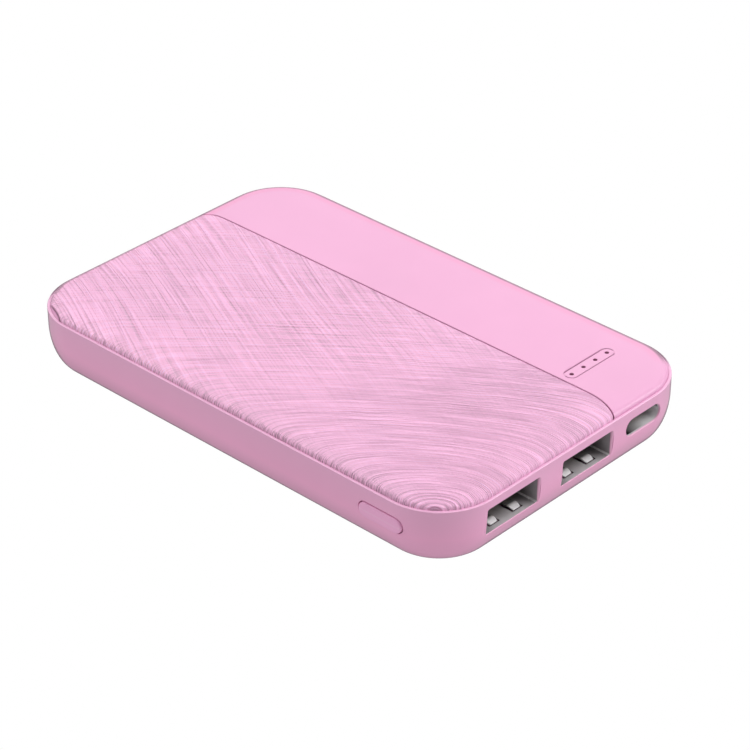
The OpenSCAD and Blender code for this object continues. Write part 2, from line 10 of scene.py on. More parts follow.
import bmesh
import bpy
import numpy as np
from mathutils import Vector, Matrix
from mathutils.geometry import delaunay_2d_cdt

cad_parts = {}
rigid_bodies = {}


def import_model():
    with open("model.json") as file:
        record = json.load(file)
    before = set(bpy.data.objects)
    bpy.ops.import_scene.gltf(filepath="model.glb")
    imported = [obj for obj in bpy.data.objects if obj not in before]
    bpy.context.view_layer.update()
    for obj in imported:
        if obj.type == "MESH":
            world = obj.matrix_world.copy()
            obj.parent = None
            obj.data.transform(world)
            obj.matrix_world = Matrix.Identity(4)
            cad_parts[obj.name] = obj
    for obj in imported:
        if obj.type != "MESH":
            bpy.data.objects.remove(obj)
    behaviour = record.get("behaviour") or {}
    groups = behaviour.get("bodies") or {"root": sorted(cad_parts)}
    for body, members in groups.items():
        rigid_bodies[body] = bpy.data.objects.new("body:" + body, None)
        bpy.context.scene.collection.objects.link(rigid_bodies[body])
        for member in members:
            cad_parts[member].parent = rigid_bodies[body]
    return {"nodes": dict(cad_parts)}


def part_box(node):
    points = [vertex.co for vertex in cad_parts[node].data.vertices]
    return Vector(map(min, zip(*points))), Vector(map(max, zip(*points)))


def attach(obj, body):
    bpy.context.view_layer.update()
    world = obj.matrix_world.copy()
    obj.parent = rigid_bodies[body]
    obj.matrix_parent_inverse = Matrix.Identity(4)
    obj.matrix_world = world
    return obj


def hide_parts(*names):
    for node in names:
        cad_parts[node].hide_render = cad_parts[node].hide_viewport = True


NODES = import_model()["nodes"]
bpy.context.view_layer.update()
MM = 0.001


def cad_box(piece):
    """Low and high corner of a CAD piece in millimetres."""
    low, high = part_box(piece)
    return np.array(low) * 1000, np.array(high) * 1000


# ---------------------------------------------------------------- sizes
HALF_X, HALF_Y, RIM_Z = cad_box("bottom_case")[1]
cover_hi = cad_box("top_cover")[1]
panel_lo, panel_hi = cad_box("texture_panel")
plate_lo, plate_hi = cad_box("indicator_plate")
button_lo, button_hi = cad_box("power_button")
BOARD_TOP = cad_box("main_board")[1][2]

TOP_Z = cover_hi[2]
CROWN = TOP_Z - RIM_Z
EDGE = HALF_X - cover_hi[0] - 0.035    # inset of the visible top, which comes right up to the lip
CORNER_R = 11.5                        # plan corner radius
TOP_R = CORNER_R - EDGE                # corner radius of the visible top
BELLY_IN, BELLY_H = 3.9, 8.0           # tuck-in of the curved lower wall, and its height
WALL, FLOOR = 1.6, 1.6
LEDGE_Z = 10.4
LIP_W, LIP_OUTER_R, LIP_INNER_R = 0.55, 0.15, 0.05

SEAM_X = panel_hi[0] + 0.2             # straight part of the seam between panel and strip
SEAM_GAP = 0.2
NEAR_R, FAR_R = 12.8, 4.75             # seam end rounds, front and back
NEAR_END = 7.75                        # the front round starts this far from the front face
PANEL_Z = panel_lo[2]
CARRIER_Z = PANEL_Z - 0.1

INSERT_X, INSERT_Y = (plate_lo[:2] + plate_hi[:2]) / 2
INSERT_L, INSERT_W = plate_hi[:2] - plate_lo[:2] + 0.3     # pocket of the indicator insert
LOBE_WAY = (0.766, -0.643)             # unit direction of the insert's end lobes

PORT_Y = -HALF_Y
SHELL_Y = PORT_Y + 0.75                # datum of the USB-A parts
A_FRONT = PORT_Y + 0.54                # front lips of the socket shells
C_FRONT = PORT_Y + 0.42
A_HALF_W, A_HALF_H = 6.70, 2.71        # socket shells, half sizes
C_HALF_W, C_HALF_H, C_R = 4.70, 1.71, 1.70
FINGER_X = 2.85                        # spring fingers, either side of a socket's middle
CONTACT_XS = (-3.5, -1, 1, 3.5)
SIDES = ("left", "right")


def socket_centre(tongue, body):
    """Middle of a socket: x from its tongue, z from its body."""
    low, high = cad_box(tongue)
    body_low, body_high = cad_box(body)
    return (low[0] + high[0]) / 2, (body_low[2] + body_high[2]) / 2


USB_A = [socket_centre("usb_a_tongue_" + side, "usb_a_shell_" + side) for side in SIDES]
USB_C = socket_centre("usb_c_tongue", "usb_c_tongue")

BUTTON_Y, BUTTON_Z = (button_lo[1:] + button_hi[1:]) / 2
BUTTON_L, BUTTON_H = 9.7, 3.2          # mouth of the button
BUTTON_FACE_X = button_lo[0]

# Ridges of the panel: rings spread from a point at the front left corner
RING_X, RING_Y = -31.35, -47.45
RING_START, RING_STEP = 0.45, 0.95
SLANT = math.radians(65.5)             # direction of the second, straighter line family

# ---------------------------------------------------------------- mesh helpers
LOOKS = {}                             # materials by name


def link(ob):
    bpy.context.scene.collection.objects.link(ob)
    return ob


def mesh_object(name, verts, faces, look=None, smooth=True):
    """Object from points in millimetres."""
    me = bpy.data.meshes.new(name)
    me.from_pydata((np.asarray(verts, float) * MM).tolist(), [], faces)
    me.validate()
    me.update()
    ob = link(bpy.data.objects.new(name, me))
    if look:
        me.materials.append(LOOKS[look])
    if smooth:
        me.polygons.foreach_set("use_smooth", [True] * len(me.polygons))
    return ob


def loft(name, rings, look, flip=False):
    """Capped skin of quads between rings of equal length, all running the same way round."""
    n = len(rings[0])
    verts = np.vstack([np.asarray(ring, float) for ring in rings])
    faces = []
    for k in range(len(rings) - 1):
        a, b = k * n, (k + 1) * n
        for j in range(n):
            i = (j + 1) % n
            faces.append((a + j, a + i, b + i, b + j))
    last = (len(rings) - 1) * n
    faces.append(tuple(range(n - 1, -1, -1)))
    faces.append(tuple(range(last, last + n)))
    if flip:
        faces = [tuple(reversed(face)) for face in faces]
    return mesh_object(name, verts, faces, look)


def box_mesh(name, low, high, look=None):
    x0, y0, z0 = low
    x1, y1, z1 = high
    verts = [(x, y, z) for z in (z0, z1) for x, y in ((x0, y0), (x1, y0), (x1, y1), (x0, y1))]
    faces = [(3, 2, 1, 0), (4, 5, 6, 7), (0, 1, 5, 4), (1, 2, 6, 5), (2, 3, 7, 6), (3, 0, 4, 7)]
    return mesh_object(name, verts, faces, look, smooth=False)


def sharpen(ob, degrees=35.0, weighted=True):
    """Marks edges sharper than an angle, then weights normals by face area."""
    me = ob.data
    me.polygons.foreach_set("use_smooth", [True] * len(me.polygons))
    me.set_sharp_from_angle(angle=math.radians(degrees))
    if weighted:
        modifier = ob.modifiers.new("weighted", "WEIGHTED_NORMAL")
        modifier.keep_sharp = True
        modifier.weight = 80


def combine(ob, others, operation="DIFFERENCE"):
    """Applies a boolean with each of the other objects, then removes them."""
    for other in others:
        modifier = ob.modifiers.new("cut", "BOOLEAN")
        modifier.operation = operation
        modifier.solver = "EXACT"
        modifier.object = other
    depsgraph = bpy.context.evaluated_depsgraph_get()
    depsgraph.update()
    me = bpy.data.meshes.new_from_object(ob.evaluated_get(depsgraph))
    old = ob.data
    ob.modifiers.clear()
    ob.data = me
    me.name = old.name
    bpy.data.meshes.remove(old)
    for other in others:
        spent = other.data
        bpy.data.objects.remove(other)
        bpy.data.meshes.remove(spent)
    return ob


def join(obs, name):
    for ob in list(bpy.context.scene.objects):
        ob.select_set(False)
    for ob in obs:
        ob.select_set(True)
    bpy.context.view_layer.objects.active = obs[0]
    bpy.ops.object.join()
    obs[0].select_set(False)
    obs[0].name = name
    return obs[0]


def fix_normals(ob):
    bm = bmesh.new()
    bm.from_mesh(ob.data)
    bmesh.ops.recalc_face_normals(bm, faces=bm.faces)
    bm.to_mesh(ob.data)
    bm.free()
    return ob


def register(ob, piece, group):
    """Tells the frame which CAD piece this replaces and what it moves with."""
    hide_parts(piece)
    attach(ob, group)


# ---------------------------------------------------------------- outlines
CORNERS = [(1, 1), (-1, 1), (-1, -1), (1, -1)]


def plan_ring(inset, z, arc_steps=24, short_steps=6, long_steps=10):
    """Case outline at a height, anticlockwise seen from above."""
    radius = CORNER_R - inset

    def corner_point(k, degrees):
        angle = math.radians(90 * k + degrees)
        side_x, side_y = CORNERS[k]
        return (side_x * (HALF_X - CORNER_R) + radius * math.cos(angle),
                side_y * (HALF_Y - CORNER_R) + radius * math.sin(angle), z)

    points = []
    for k in range(4):
        points += [corner_point(k, 90 * j / arc_steps) for j in range(arc_steps + 1)]
        start = np.array(points[-1])
        end = np.array(corner_point((k + 1) % 4, 0))
        steps = long_steps if k % 2 else short_steps
        points += [tuple(start + (end - start) * j / steps) for j in range(1, steps)]
    return points


def rounded_rect(half_w, half_h, r, steps=5):
    """Rounded rectangle outline in two coordinates, anticlockwise."""
    r = max(min(r, half_w, half_h), 1e-4)
    points = []
    for k, (side_u, side_v) in enumerate(CORNERS):
        for j in range(steps + 1):
            angle = math.radians(90 * k + 90 * j / steps)
            points.append((side_u * (half_w - r) + r * math.cos(angle),
                           side_v * (half_h - r) + r * math.sin(angle)))
    return np.array(points)


def upright_rings(x, z, stations, steps):
    """Rounded rectangles facing -y. Each station is (half width, half height, radius, y)."""
    rings = []
    for half_w, half_h, r, y in stations:
        outline = rounded_rect(half_w, half_h, r, steps)
        rings.append(np.stack([outline[:, 0] + x, np.full(len(outline), y),
                               outline[:, 1] + z], 1))
    return rings


def belly(inward, height, z0, offset, steps):
    """Quarter-ellipse wall profile as (inset, z), from the foot up."""
    angles = [math.pi / 2 * i / steps for i in range(steps + 1)]
    return [(offset + inward * (1 - math.sin(t)), z0 + height * (1 - math.cos(t)))
            for t in angles]


def skin_inset(z):
    """How far the outside of the case is tucked in at a height."""
    c = np.clip(1 - np.asarray(z, float) / BELLY_H, 0, 1)
    return BELLY_IN * (1 - np.sqrt(1 - c * c))


def plan_inset(x, y):
    """Inset from the case outline."""
    qx, qy = np.abs(x) - (HALF_X - CORNER_R), np.abs(y) - (HALF_Y - CORNER_R)
    outside = np.hypot(np.maximum(qx, 0), np.maximum(qy, 0))
    return CORNER_R - (outside + np.minimum(np.maximum(qx, qy), 0))


def gradient(field, x, y, step):
    return ((field(x + step, y) - field(x - step, y)) / (2 * step),
            (field(x, y + step) - field(x, y - step)) / (2 * step))


def smoothstep(a, b, t):
    u = np.clip((t - a) / (b - a), 0, 1)
    return u * u * (3 - 2 * u)


# ---------------------------------------------------------------- shader helpers


class Value:
    """A node output; arithmetic on it adds math nodes."""

    def __init__(self, nodes, socket):
        self.nodes, self.socket = nodes, socket

    def __add__(self, other):
        return self.nodes.math("ADD", self, other)

    def __radd__(self, other):
        return self.nodes.math("ADD", other, self)

    def __sub__(self, other):
        return self.nodes.math("SUBTRACT", self, other)

    def __rsub__(self, other):
        return self.nodes.math("SUBTRACT", other, self)

    def __mul__(self, other):
        return self.nodes.math("MULTIPLY", self, other)

    def __truediv__(self, other):
        return self.nodes.math("DIVIDE", self, other)

    def __pow__(self, other):
        return self.nodes.math("POWER", self, other)

    def __rpow__(self, other):
        return self.nodes.math("POWER", other, self)

    def __abs__(self):
        return self.nodes.math("ABSOLUTE", self)


class Nodes:
    """Builds nodes in a tree. An input takes a number, a tuple or a Value."""

    def __init__(self, tree):
        self.tree = tree

    def feed(self, socket, value):
        if isinstance(value, Value):
            self.tree.links.new(value.socket, socket)
        elif value is not None:
            socket.default_value = value

    def add(self, kind, *feeds, **settings):
        """New node; feeds fill its inputs in order and None leaves an input as it is."""
        node = self.tree.nodes.new("ShaderNode" + kind)
        for key, value in settings.items():
            if key in node.inputs:
                self.feed(node.inputs[key], value)
            else:
                setattr(node, key, value)
        for socket, value in zip(node.inputs, feeds):
            self.feed(socket, value)
        return node

    def out(self, kind, *feeds, output=0, **settings):
        return Value(self, self.add(kind, *feeds, **settings).outputs[output])

    def math(self, operation, first, second=0.0, third=None):
        return self.out("Math", first, second, third, operation=operation)

    def vector(self, operation, first, second=None, output=0):
        return self.out("VectorMath", first, second, operation=operation, output=output)

    def scaled(self, vector, factor):
        return self.out("VectorMath", operation="SCALE", Vector=vector, Scale=factor)

    def split(self, vector):
        node = self.add("SeparateXYZ", vector)
        return [Value(self, socket) for socket in node.outputs]

    def span(self, value, over=(0.0, 1.0), to=(0.0, 1.0), smooth=True):
        """Maps a value's range to another, clamped at both ends."""
        return self.out("MapRange", value, interpolation_type="SMOOTHSTEP" if smooth else "LINEAR",
                        **{"From Min": over[0], "From Max": over[1],
                           "To Min": to[0], "To Max": to[1]})

    def blend(self, under, colour, amount):
        return self.out("Mix", amount, *[None] * 5, under, (*colour, 1),
                        output=2, data_type="RGBA")

    def mix_floats(self, amount, first, second):
        return self.out("Mix", amount, None, first, second, data_type="FLOAT")

    def noise(self, vector, scale, detail, roughness=0.5):
        return self.out("TexNoise", Vector=vector, Scale=scale, Detail=detail,
                        Roughness=roughness)

    def ramp(self, value, stops):
        node = self.add("ValToRGB", value)
        ramp = node.color_ramp
        while len(ramp.elements) < len(stops):
            ramp.elements.new(0.5)
        for element, (position, colour) in zip(ramp.elements, stops):
            element.position = position
            element.color = (*colour, 1)
        return Value(self, node.outputs[0])

    def attribute(self, name, output="Fac"):
        return self.out("Attribute", output=output, attribute_name=name)

    def bump(self, height, distance, normal=None):
        return self.out("Bump", Strength=1.0, Distance=distance, Height=height, Normal=normal)


def empty_look(name):
    """Nodes of a new material without any shader yet."""
    material = bpy.data.materials.new(name)
    material.use_nodes = True
    material.node_tree.nodes.clear()
    LOOKS[name] = material
    return Nodes(material.node_tree)


class Look(Nodes):
    """A new material on one principled shader."""

    def __init__(self, name):
        super().__init__(empty_look(name).tree)
        self.bsdf = self.add("BsdfPrincipled")
        self.add("OutputMaterial", Value(self, self.bsdf.outputs[0]))
        self.place = self.out("TexCoord", output="Object")

    def set(self, name, value):
        self.feed(self.bsdf.inputs[name], value)

    def linked(self, name):
        return Value(self, self.bsdf.inputs[name].links[0].from_socket)

    @property
    def colour(self):
        return self.linked("Base Color")

    @colour.setter
    def colour(self, value):
        self.set("Base Color", value)


def moulded(name, base, rough=0.42, spec=0.5, grain=9000.0, grain_depth=0.000006, mottle=0.02,
            coat=0.0, edge_paling=0.35, edge_paling_attribute=None):
    """Moulded plastic: colour drift, spark-eroded grain, uneven gloss and paler edges: worn convex
    edges, and a painted highlight on the edges that an attribute marks.
    """
    look = Look(name)
    drift = look.noise(look.place, scale=38.0, detail=3.0, roughness=0.55)
    darker = tuple(c * (1 - mottle) for c in base)
    lighter = tuple(min(1, c * (1 + mottle)) for c in base)
    drifted = look.ramp(drift, [(0.35, darker), (0.65, lighter)])
    if edge_paling_attribute:
        pale_edge_mask = look.attribute(edge_paling_attribute)
    else:
        convex = look.out("NewGeometry", output="Pointiness")
        pale_edge_mask = look.ramp(convex, [(0.515, (0, 0, 0)), (0.60, (1, 1, 1))])
    pale = [min(1, c * 0.80 + 0.20) for c in base]
    look.colour = look.blend(drifted, pale, pale_edge_mask * edge_paling)

    gloss = look.noise(look.place, scale=210.0, detail=4.0, roughness=0.6)
    look.set("Roughness", look.span(gloss, to=(rough - 0.05, rough + 0.06), smooth=False))
    look.set("Specular IOR Level", spec)
    if coat:
        look.set("Coat Weight", coat)
        look.set("Coat Roughness", 0.25)
    height = look.noise(look.place, scale=grain, detail=2.0)
    look.set("Normal", look.bump(height, grain_depth))
    return look


def metal(name, base, rough=0.3, brushed=(1.0, 1.0, 1.0), scale=900.0, depth=0.000004,
          tint=0.12, metallic=1.0):
    """Plated sheet: rolling lines, small gloss changes and dull patches."""
    look = Look(name)
    along = look.out("Mapping", Vector=look.place, Scale=brushed)
    lines = look.noise(along, scale=scale, detail=5.0, roughness=0.6)
    patch = look.noise(look.place, scale=260.0, detail=3.0)
    dull = tuple(c * (1 - tint) for c in base)
    look.colour = look.ramp(patch, [(0.3, dull), (0.7, base)])
    look.set("Metallic", metallic)
    look.set("Roughness", look.span(lines, to=(max(0.03, rough - 0.08), rough + 0.12),
                                    smooth=False))
    look.set("Normal", look.bump(lines, depth))
    return look


# ---------------------------------------------------------------- case, cover and panel looks
PINK = (0.915, 0.430, 0.690)
PANEL_PINK = (1.0, 0.515, 0.775)


def turned_away(look, x, y):
    """Plan radius about the corner centres, and how far that side faces away from the eye."""
    eye = look.split(look.out("NewGeometry", output="Incoming"))
    overs, signed = [], []
    for axis, half in ((x, HALF_X - CORNER_R), (y, HALF_Y - CORNER_R)):
        over = look.math("MAXIMUM", abs(axis) - half * MM, 0.0)
        overs.append(over)
        signed.append(over * look.math("SIGN", axis))
    radius = look.math("SQRT", overs[0] * overs[0] + overs[1] * overs[1])
    towards = signed[0] * eye[0] + signed[1] * eye[1]
    towards = towards / look.math("MAXIMUM", radius, 1e-6)
    return radius, look.span(towards, over=(-0.42, -0.12), to=(1.0, 0.0))


def below_rim(start, end):
    """A height range given as distances below the rim, in metres."""
    return (RIM_Z - start) * MM, (RIM_Z - end) * MM


def shell_look():
    """Case plastic, with a painted highlight on the lip, and painted shade and less gloss where it
    turns away from the eye.
    """
    spec = 0.8
    # the paler edges here are a painted highlight on the rounded edges of the mouths
    look = moulded("shell_plastic", PINK, rough=0.40, spec=spec, edge_paling=0.6,
                   edge_paling_attribute="mouth_edge_highlight")
    facing = look.out("LayerWeight", output="Facing", Blend=0.5)
    x, y, z = look.split(look.place)
    # painted shade by height: darker at the foot, fullest at mid height, a little duller under the
    # lip
    tint = look.ramp(look.span(z, over=(0.0, 0.0113), smooth=False),
                     [(0.0, (0.85, 0.85, 0.83)), (0.5, (1.0, 0.96, 0.94)),
                      (1.0, (0.90, 0.95, 0.90))])
    colour = look.vector("MULTIPLY", look.colour, tint)
    # painted highlight: the lip is painted paler, as lit from above
    on_lip = look.span(z, over=below_rim(0.11, 0.03))
    colour = look.blend(colour, (1.0, 0.54, 0.79), on_lip)
    # painted shade: a broad fall-off where the wall swings round, kept off the lip
    keep = look.span(z, over=below_rim(0.30, 0.06))
    fall_off = look.span(facing, over=(0.50, 0.80), to=(1.0, 0.84))
    colour = look.scaled(colour, look.math("MAXIMUM", fall_off, keep))
    # painted shade, darkening as it turns away, wider low down where the belly is tight
    start = look.span(z, over=(0.0045, 0.0085), to=(0.74, 0.78))
    width = 0.16
    turn = look.span((facing - start) * (1 / width))
    turn = turn * look.span(z, over=below_rim(0.10, 0.02), to=(1.0, 0.0))
    # painted shade on the far side of the lip
    radius, away = turned_away(look, x, y)
    outer = look.span(radius, over=((CORNER_R - 0.46) * MM, (CORNER_R - 0.38) * MM),
                      to=(0.0, 0.92))
    turn = look.math("MAXIMUM", turn, away * on_lip * outer)
    look.colour = look.blend(colour, (0.24, 0.16, 0.205), turn)
    look.set("Specular IOR Level", look.span(turn, to=(spec, 0.0), smooth=False))


def shade_insert(look, colour, x, y):
    """Painted shade in the gap round the indicator insert, left out where its lobes meet the
    pocket.
    """
    dx = x - INSERT_X * MM
    dy = y - INSERT_Y * MM
    end_x = look.math("MAXIMUM", abs(dx) - (INSERT_L - INSERT_W) / 2 * MM, 0.0)
    end_y = dy * look.math("SIGN", dx)
    radius = look.math("SQRT", end_x * end_x + dy * dy)
    off_line = abs(radius - (INSERT_W / 2 - 0.04) * MM)
    line = look.span(off_line, over=(0.00008, 0.00022), to=(0.50, 0.0))
    to_lobe = end_x * LOBE_WAY[0] + end_y * LOBE_WAY[1]
    to_lobe = to_lobe / look.math("MAXIMUM", radius, 1e-6)
    clear = look.span(to_lobe, over=(0.90, 0.97), to=(1.0, 0.0))
    return look.blend(colour, (0.32, 0.10, 0.22), line * clear)


def shade_top_edges(look, insert=False, far_warm_shade=0.90, far_dark_shade=0.92):
    """Painted shade in the seam and round the insert, and painted shade on the rim of the top
    where it turns away from the eye.
    """
    x, y, z = look.split(look.place)
    seam_strength = 0.40
    colour = look.blend(look.colour, (0.36, 0.12, 0.24),
                        look.attribute("seam_shade") * seam_strength)
    if insert:
        colour = shade_insert(look, colour, x, y)
    # painted shade near the top's edge on the side turned away from the eye: a more saturated
    # pink, then a dark rim
    radius, away = turned_away(look, x, y)
    # colour, how far inside the top's edge it starts and is full, strength
    for tone, start, full, strength in (((0.95, 0.385, 0.645), 3.0, 1.4, far_warm_shade),
                                        ((0.30, 0.16, 0.22), 1.30, 0.62, far_dark_shade)):
        near_edge = look.span(radius, over=((TOP_R - start) * MM, (TOP_R - full) * MM),
                              to=(0.0, strength))
        colour = look.blend(colour, tone, away * near_edge)
    look.colour = colour


def fine_lines(look):
    """Height of fine lines that follow the two ridge families, finer than the mesh."""
    rings = look.attribute("ring_mm")
    slants = look.attribute("line_mm")
    mix = look.attribute("line_mix")

    def family(across, per_mm, along):
        """Stretched noise: quick across the lines, slow along them (per metre)."""
        x, y, z = look.split(look.place)
        place = look.out("CombineXYZ", across * per_mm, x * along, y * along)
        return look.noise(place, scale=1.0, detail=1.0, roughness=0.4)

    # the rings' fine lines run closer together towards the front end and the long side
    zone = look.attribute("fine_zone")
    close = look.math("MULTIPLY_ADD", family(rings, per_mm=4.3, along=85.0), 0.85, 0.075)
    ring_lines = look.mix_floats(zone, family(rings, per_mm=2.5, along=85.0), close)
    slant_lines = family(slants, per_mm=2.3, along=55.0)
    # shares of the two families: rings 1 to 0.78, slants 0.12 to 1
    ring_share = look.math("MULTIPLY_ADD", mix, -0.22, 1.0)
    slant_share = look.math("MULTIPLY_ADD", mix, 0.88, 0.12)
    height = look.math("MULTIPLY_ADD", slant_lines, slant_share, ring_lines * ring_share)
    height.socket.node.label = "fine_lines"
    return height


def panel_look():
    """Painted highlight on the ridge tops and painted shade in the groove floors, both on the
    relief and along the finer lines.
    """
    look = moulded("panel_plastic", PANEL_PINK, rough=0.44, spec=0.8, grain=2600.0,
                   grain_depth=0.00003)
    lines = fine_lines(look)
    look.set("Normal", look.bump(lines, 0.00052, look.linked("Normal")))

    # painted highlight and shade from the relief's height, then from the fine lines
    ridge = look.span(look.attribute("ridge"), over=(-0.09, 0.08), to=(0.88, 1.06),
                      smooth=False)
    fine = look.span(lines, over=(0.45, 0.95), to=(0.86, 1.13), smooth=False)
    fine_middle = 0.995
    finer = 1.0 + look.attribute("fine_gain") * (fine - fine_middle)

    # painted shade in the crisp grooves of the closely spaced rings at the front left corner
    ring = look.attribute("ring_mm")
    groove_shade, corner_reach, corner_fall, groove_power = 0.30, 7.5, 1.8, 3.0
    wave = look.math("SINE", (ring - RING_START) * (2 * math.pi / RING_STEP))
    groove = look.math("MULTIPLY_ADD", wave, -0.5, 0.5) ** groove_power
    near = 2.718 ** ((ring / corner_reach) ** corner_fall * -1.0)
    dark = 1.0 - groove * near * groove_shade

    # painted shade and highlight: strokes across the rolled edge of the long side
    strokes_across, strokes_inward, darkest_stroke = 3.9, 0.9, 0.74
    rim = look.attribute("rim_mm")
    tooth = look.attribute("tooth_mm")
    place = look.out("CombineXYZ", tooth * strokes_across, rim * strokes_inward)
    stroke = look.noise(place, scale=1.0, detail=1.0, roughness=0.6)
    stroke = look.span(stroke, over=(0.42, 0.60), to=(1.24, 0.62))
    band = look.attribute("tooth_mix")
    dark = dark * (1.0 + band * (look.math("MAXIMUM", stroke, darkest_stroke) - 1.0))

    # evens out the brightness between the areas of different lines
    level, slant_drop, zone_lift = 1.055, 0.115, 0.125
    even = ((level - look.attribute("line_mix") * slant_drop)
            + look.attribute("fine_zone") * zone_lift)
    colour = look.scaled(look.colour, ridge * (finer * even * dark))
    # painted shade towards the borders of the panel
    look.colour = look.vector("MULTIPLY", colour, look.attribute("verge_shade", "Vector"))
    shade_top_edges(look, far_warm_shade=0.10, far_dark_shade=0.74)


# ---------------------------------------------------------------- socket looks


def dim_inward(look, y, over, level):
    """Painted shade: the sheet darkens away from the mouth."""
    look.colour = look.scaled(look.colour, look.span(y, over=over, to=(1.0, level)))


def connector_steel():
    look = metal("connector_steel", (0.84, 0.80, 0.82), rough=0.36, brushed=(1, 0.06, 1),
                 metallic=0.30)
    x, y, z = look.split(look.place)
    dim_inward(look, y, over=(-0.0503, -0.0460), level=0.50)
    # painted shade: darker towards the side walls of the USB-A shells
    offsets = [look.math("ABSOLUTE", x - centre_x * MM, None) for centre_x, _ in USB_A]
    side = look.math("MINIMUM", *offsets)
    colour = look.scaled(look.colour, look.span(side, over=(0.0030, 0.0061), to=(1.0, 0.58)))
    # painted highlight along the two lower bends of each shell
    for centre_x, centre_z in USB_A:
        for sign in (1, -1):
            bend = (centre_x * MM + sign * 0.00636, 0, (centre_z - 2.41) * MM)
            offset = look.vector("SUBTRACT", look.place, bend)
            offset = look.vector("MULTIPLY", offset, (1, 0, 1))
            distance = look.vector("LENGTH", offset, output="Value")
            bend_highlight = look.span(distance, over=(0.00008, 0.00030), to=(0.95, 0.0))
            colour = look.blend(colour, (1, 1, 1), bend_highlight)
    look.colour = colour


def drawn_tube():
    """Bright tube of the USB-C socket: a fixed shade stands in for its reflections."""
    look = metal("drawn_tube", (0.95, 0.94, 0.95), rough=0.16, brushed=(1, 0.06, 1),
                 metallic=0.10, tint=0.03)
    centre_x, centre_z = USB_C[0] * MM, USB_C[1] * MM
    x, y, z = look.split(look.place)
    # dark on the left, bright on the right, dim in the upper half
    across = look.span(x, over=(centre_x - 0.0048, centre_x + 0.0048), smooth=False)
    shade = look.ramp(across, [(0.2, (0.03, 0.03, 0.03)), (0.65, (1.0, 1.0, 1.0))])
    upper = look.span(z, over=(centre_z, centre_z + 0.0008), to=(1.0, 0.14))
    shade = look.scaled(shade, upper)
    # the front lip stays bright
    lip = look.span(y, over=(C_FRONT * MM + 0.00012, C_FRONT * MM + 0.00030), to=(1.0, 0.0),
                    smooth=False)
    look.colour = look.vector("MULTIPLY", look.colour, look.blend(shade, (0.9, 0.88, 0.9), lip))


def spring_steel():
    look = metal("spring_steel", (1.0, 0.985, 0.99), rough=0.34, brushed=(1, 0.08, 1),
                 metallic=0.08, tint=0.05)
    x, y, z = look.split(look.place)
    # painted shade behind the crests of the spring fingers
    dim_inward(look, y, over=(-0.0482, -0.0474), level=0.22)


shell_look()
# near-black: painted shade for the recesses under the spring fingers
moulded("recess_shade_plastic", (0.10, 0.035, 0.065), rough=0.5)
shade_top_edges(moulded("cover_plastic", PINK, rough=0.40, spec=0.9), insert=True)
panel_look()
moulded("button_plastic", PINK, rough=0.38, spec=0.8)
moulded("adhesive", (0.80, 0.76, 0.62), rough=0.6, grain=3000, grain_depth=0.00001)
moulded("light_pipe", (0.115, 0.006, 0.048), rough=0.6, spec=0.0)
moulded("black_foam", (0.025, 0.025, 0.028), rough=0.85, grain=5200, grain_depth=0.00005)
moulded("black_plastic", (0.012, 0.012, 0.014), rough=0.5, grain=6000, grain_depth=0.00001)
moulded("white_plastic", (0.72, 0.69, 0.62), rough=0.45)
connector_steel()
drawn_tube()
spring_steel()
metal("dome_steel", (0.70, 0.70, 0.71), rough=0.16)
moulded("board_green", (0.010, 0.085, 0.035), rough=0.32, grain=2200, grain_depth=0.000012,
        coat=0.3, mottle=0.12)
metal("screw_steel", (0.09, 0.09, 0.10), rough=0.35)
moulded("chip_black", (0.014, 0.014, 0.016), rough=0.55, grain=5200, grain_depth=0.00001)
moulded("ferrite", (0.045, 0.045, 0.05), rough=0.7, grain=3000, grain_depth=0.00003)
metal("copper", (0.62, 0.22, 0.09), rough=0.28, scale=500)
moulded("capacitor_tan", (0.33, 0.20, 0.10), rough=0.4, grain=4200, grain_depth=0.00001)
moulded("resistor_black", (0.016, 0.016, 0.018), rough=0.3)
moulded("led_white", (0.80, 0.78, 0.52), rough=0.2, coat=0.5)
metal("contact_gold", (0.80, 0.55, 0.20), rough=0.22)
metal("pouch_foil", (0.58, 0.59, 0.61), rough=0.42, scale=300, depth=0.00003)
metal("tab_aluminium", (0.75, 0.75, 0.76), rough=0.3)
metal("tab_nickel", (0.55, 0.52, 0.47), rough=0.32)
moulded("amber_tape", (0.55, 0.24, 0.02), rough=0.3, coat=0.4)
moulded("red_wire", (0.45, 0.012, 0.012), rough=0.45)
moulded("black_wire", (0.012, 0.012, 0.013), rough=0.45)

# CAD pieces kept as they are: piece and its material
CAD_LOOKS = {
    "panel_adhesive": "adhesive", "light_guide": "light_pipe", "light_gasket": "black_foam",
    "switch_body": "black_plastic", "switch_plunger": "white_plastic",
    "switch_frame": "spring_steel", "switch_dome": "dome_steel",
    "switch_terminals": "spring_steel", "main_board": "board_green",
    "board_screws": "screw_steel", "control_chip": "chip_black", "charge_chip": "chip_black",
    "inductor_core": "ferrite", "inductor_coil": "copper",
    "ceramic_capacitors": "capacitor_tan", "output_capacitors": "capacitor_tan",
    "resistors": "resistor_black", "status_leds": "led_white",
    "usb_a_contacts_left": "contact_gold", "usb_a_contacts_right": "contact_gold",
    "usb_c_contacts": "contact_gold", "battery_cell": "pouch_foil",
    "positive_tab": "tab_aluminium", "negative_tab": "tab_nickel",
    "protection_board": "board_green", "protection_chips": "chip_black",
    "protection_tape": "amber_tape", "red_lead": "red_wire", "black_lead": "black_wire",
    "cell_adhesive_pads": "adhesive", "foam_strips": "black_foam",
}
for piece, look_name in CAD_LOOKS.items():
    ob = NODES[piece]
    if not ob.data.materials:
        ob.data.materials.append(LOOKS[look_name])
    for slot in ob.material_slots:
        slot.material = LOOKS[look_name]

# ---------------------------------------------------------------- lower case


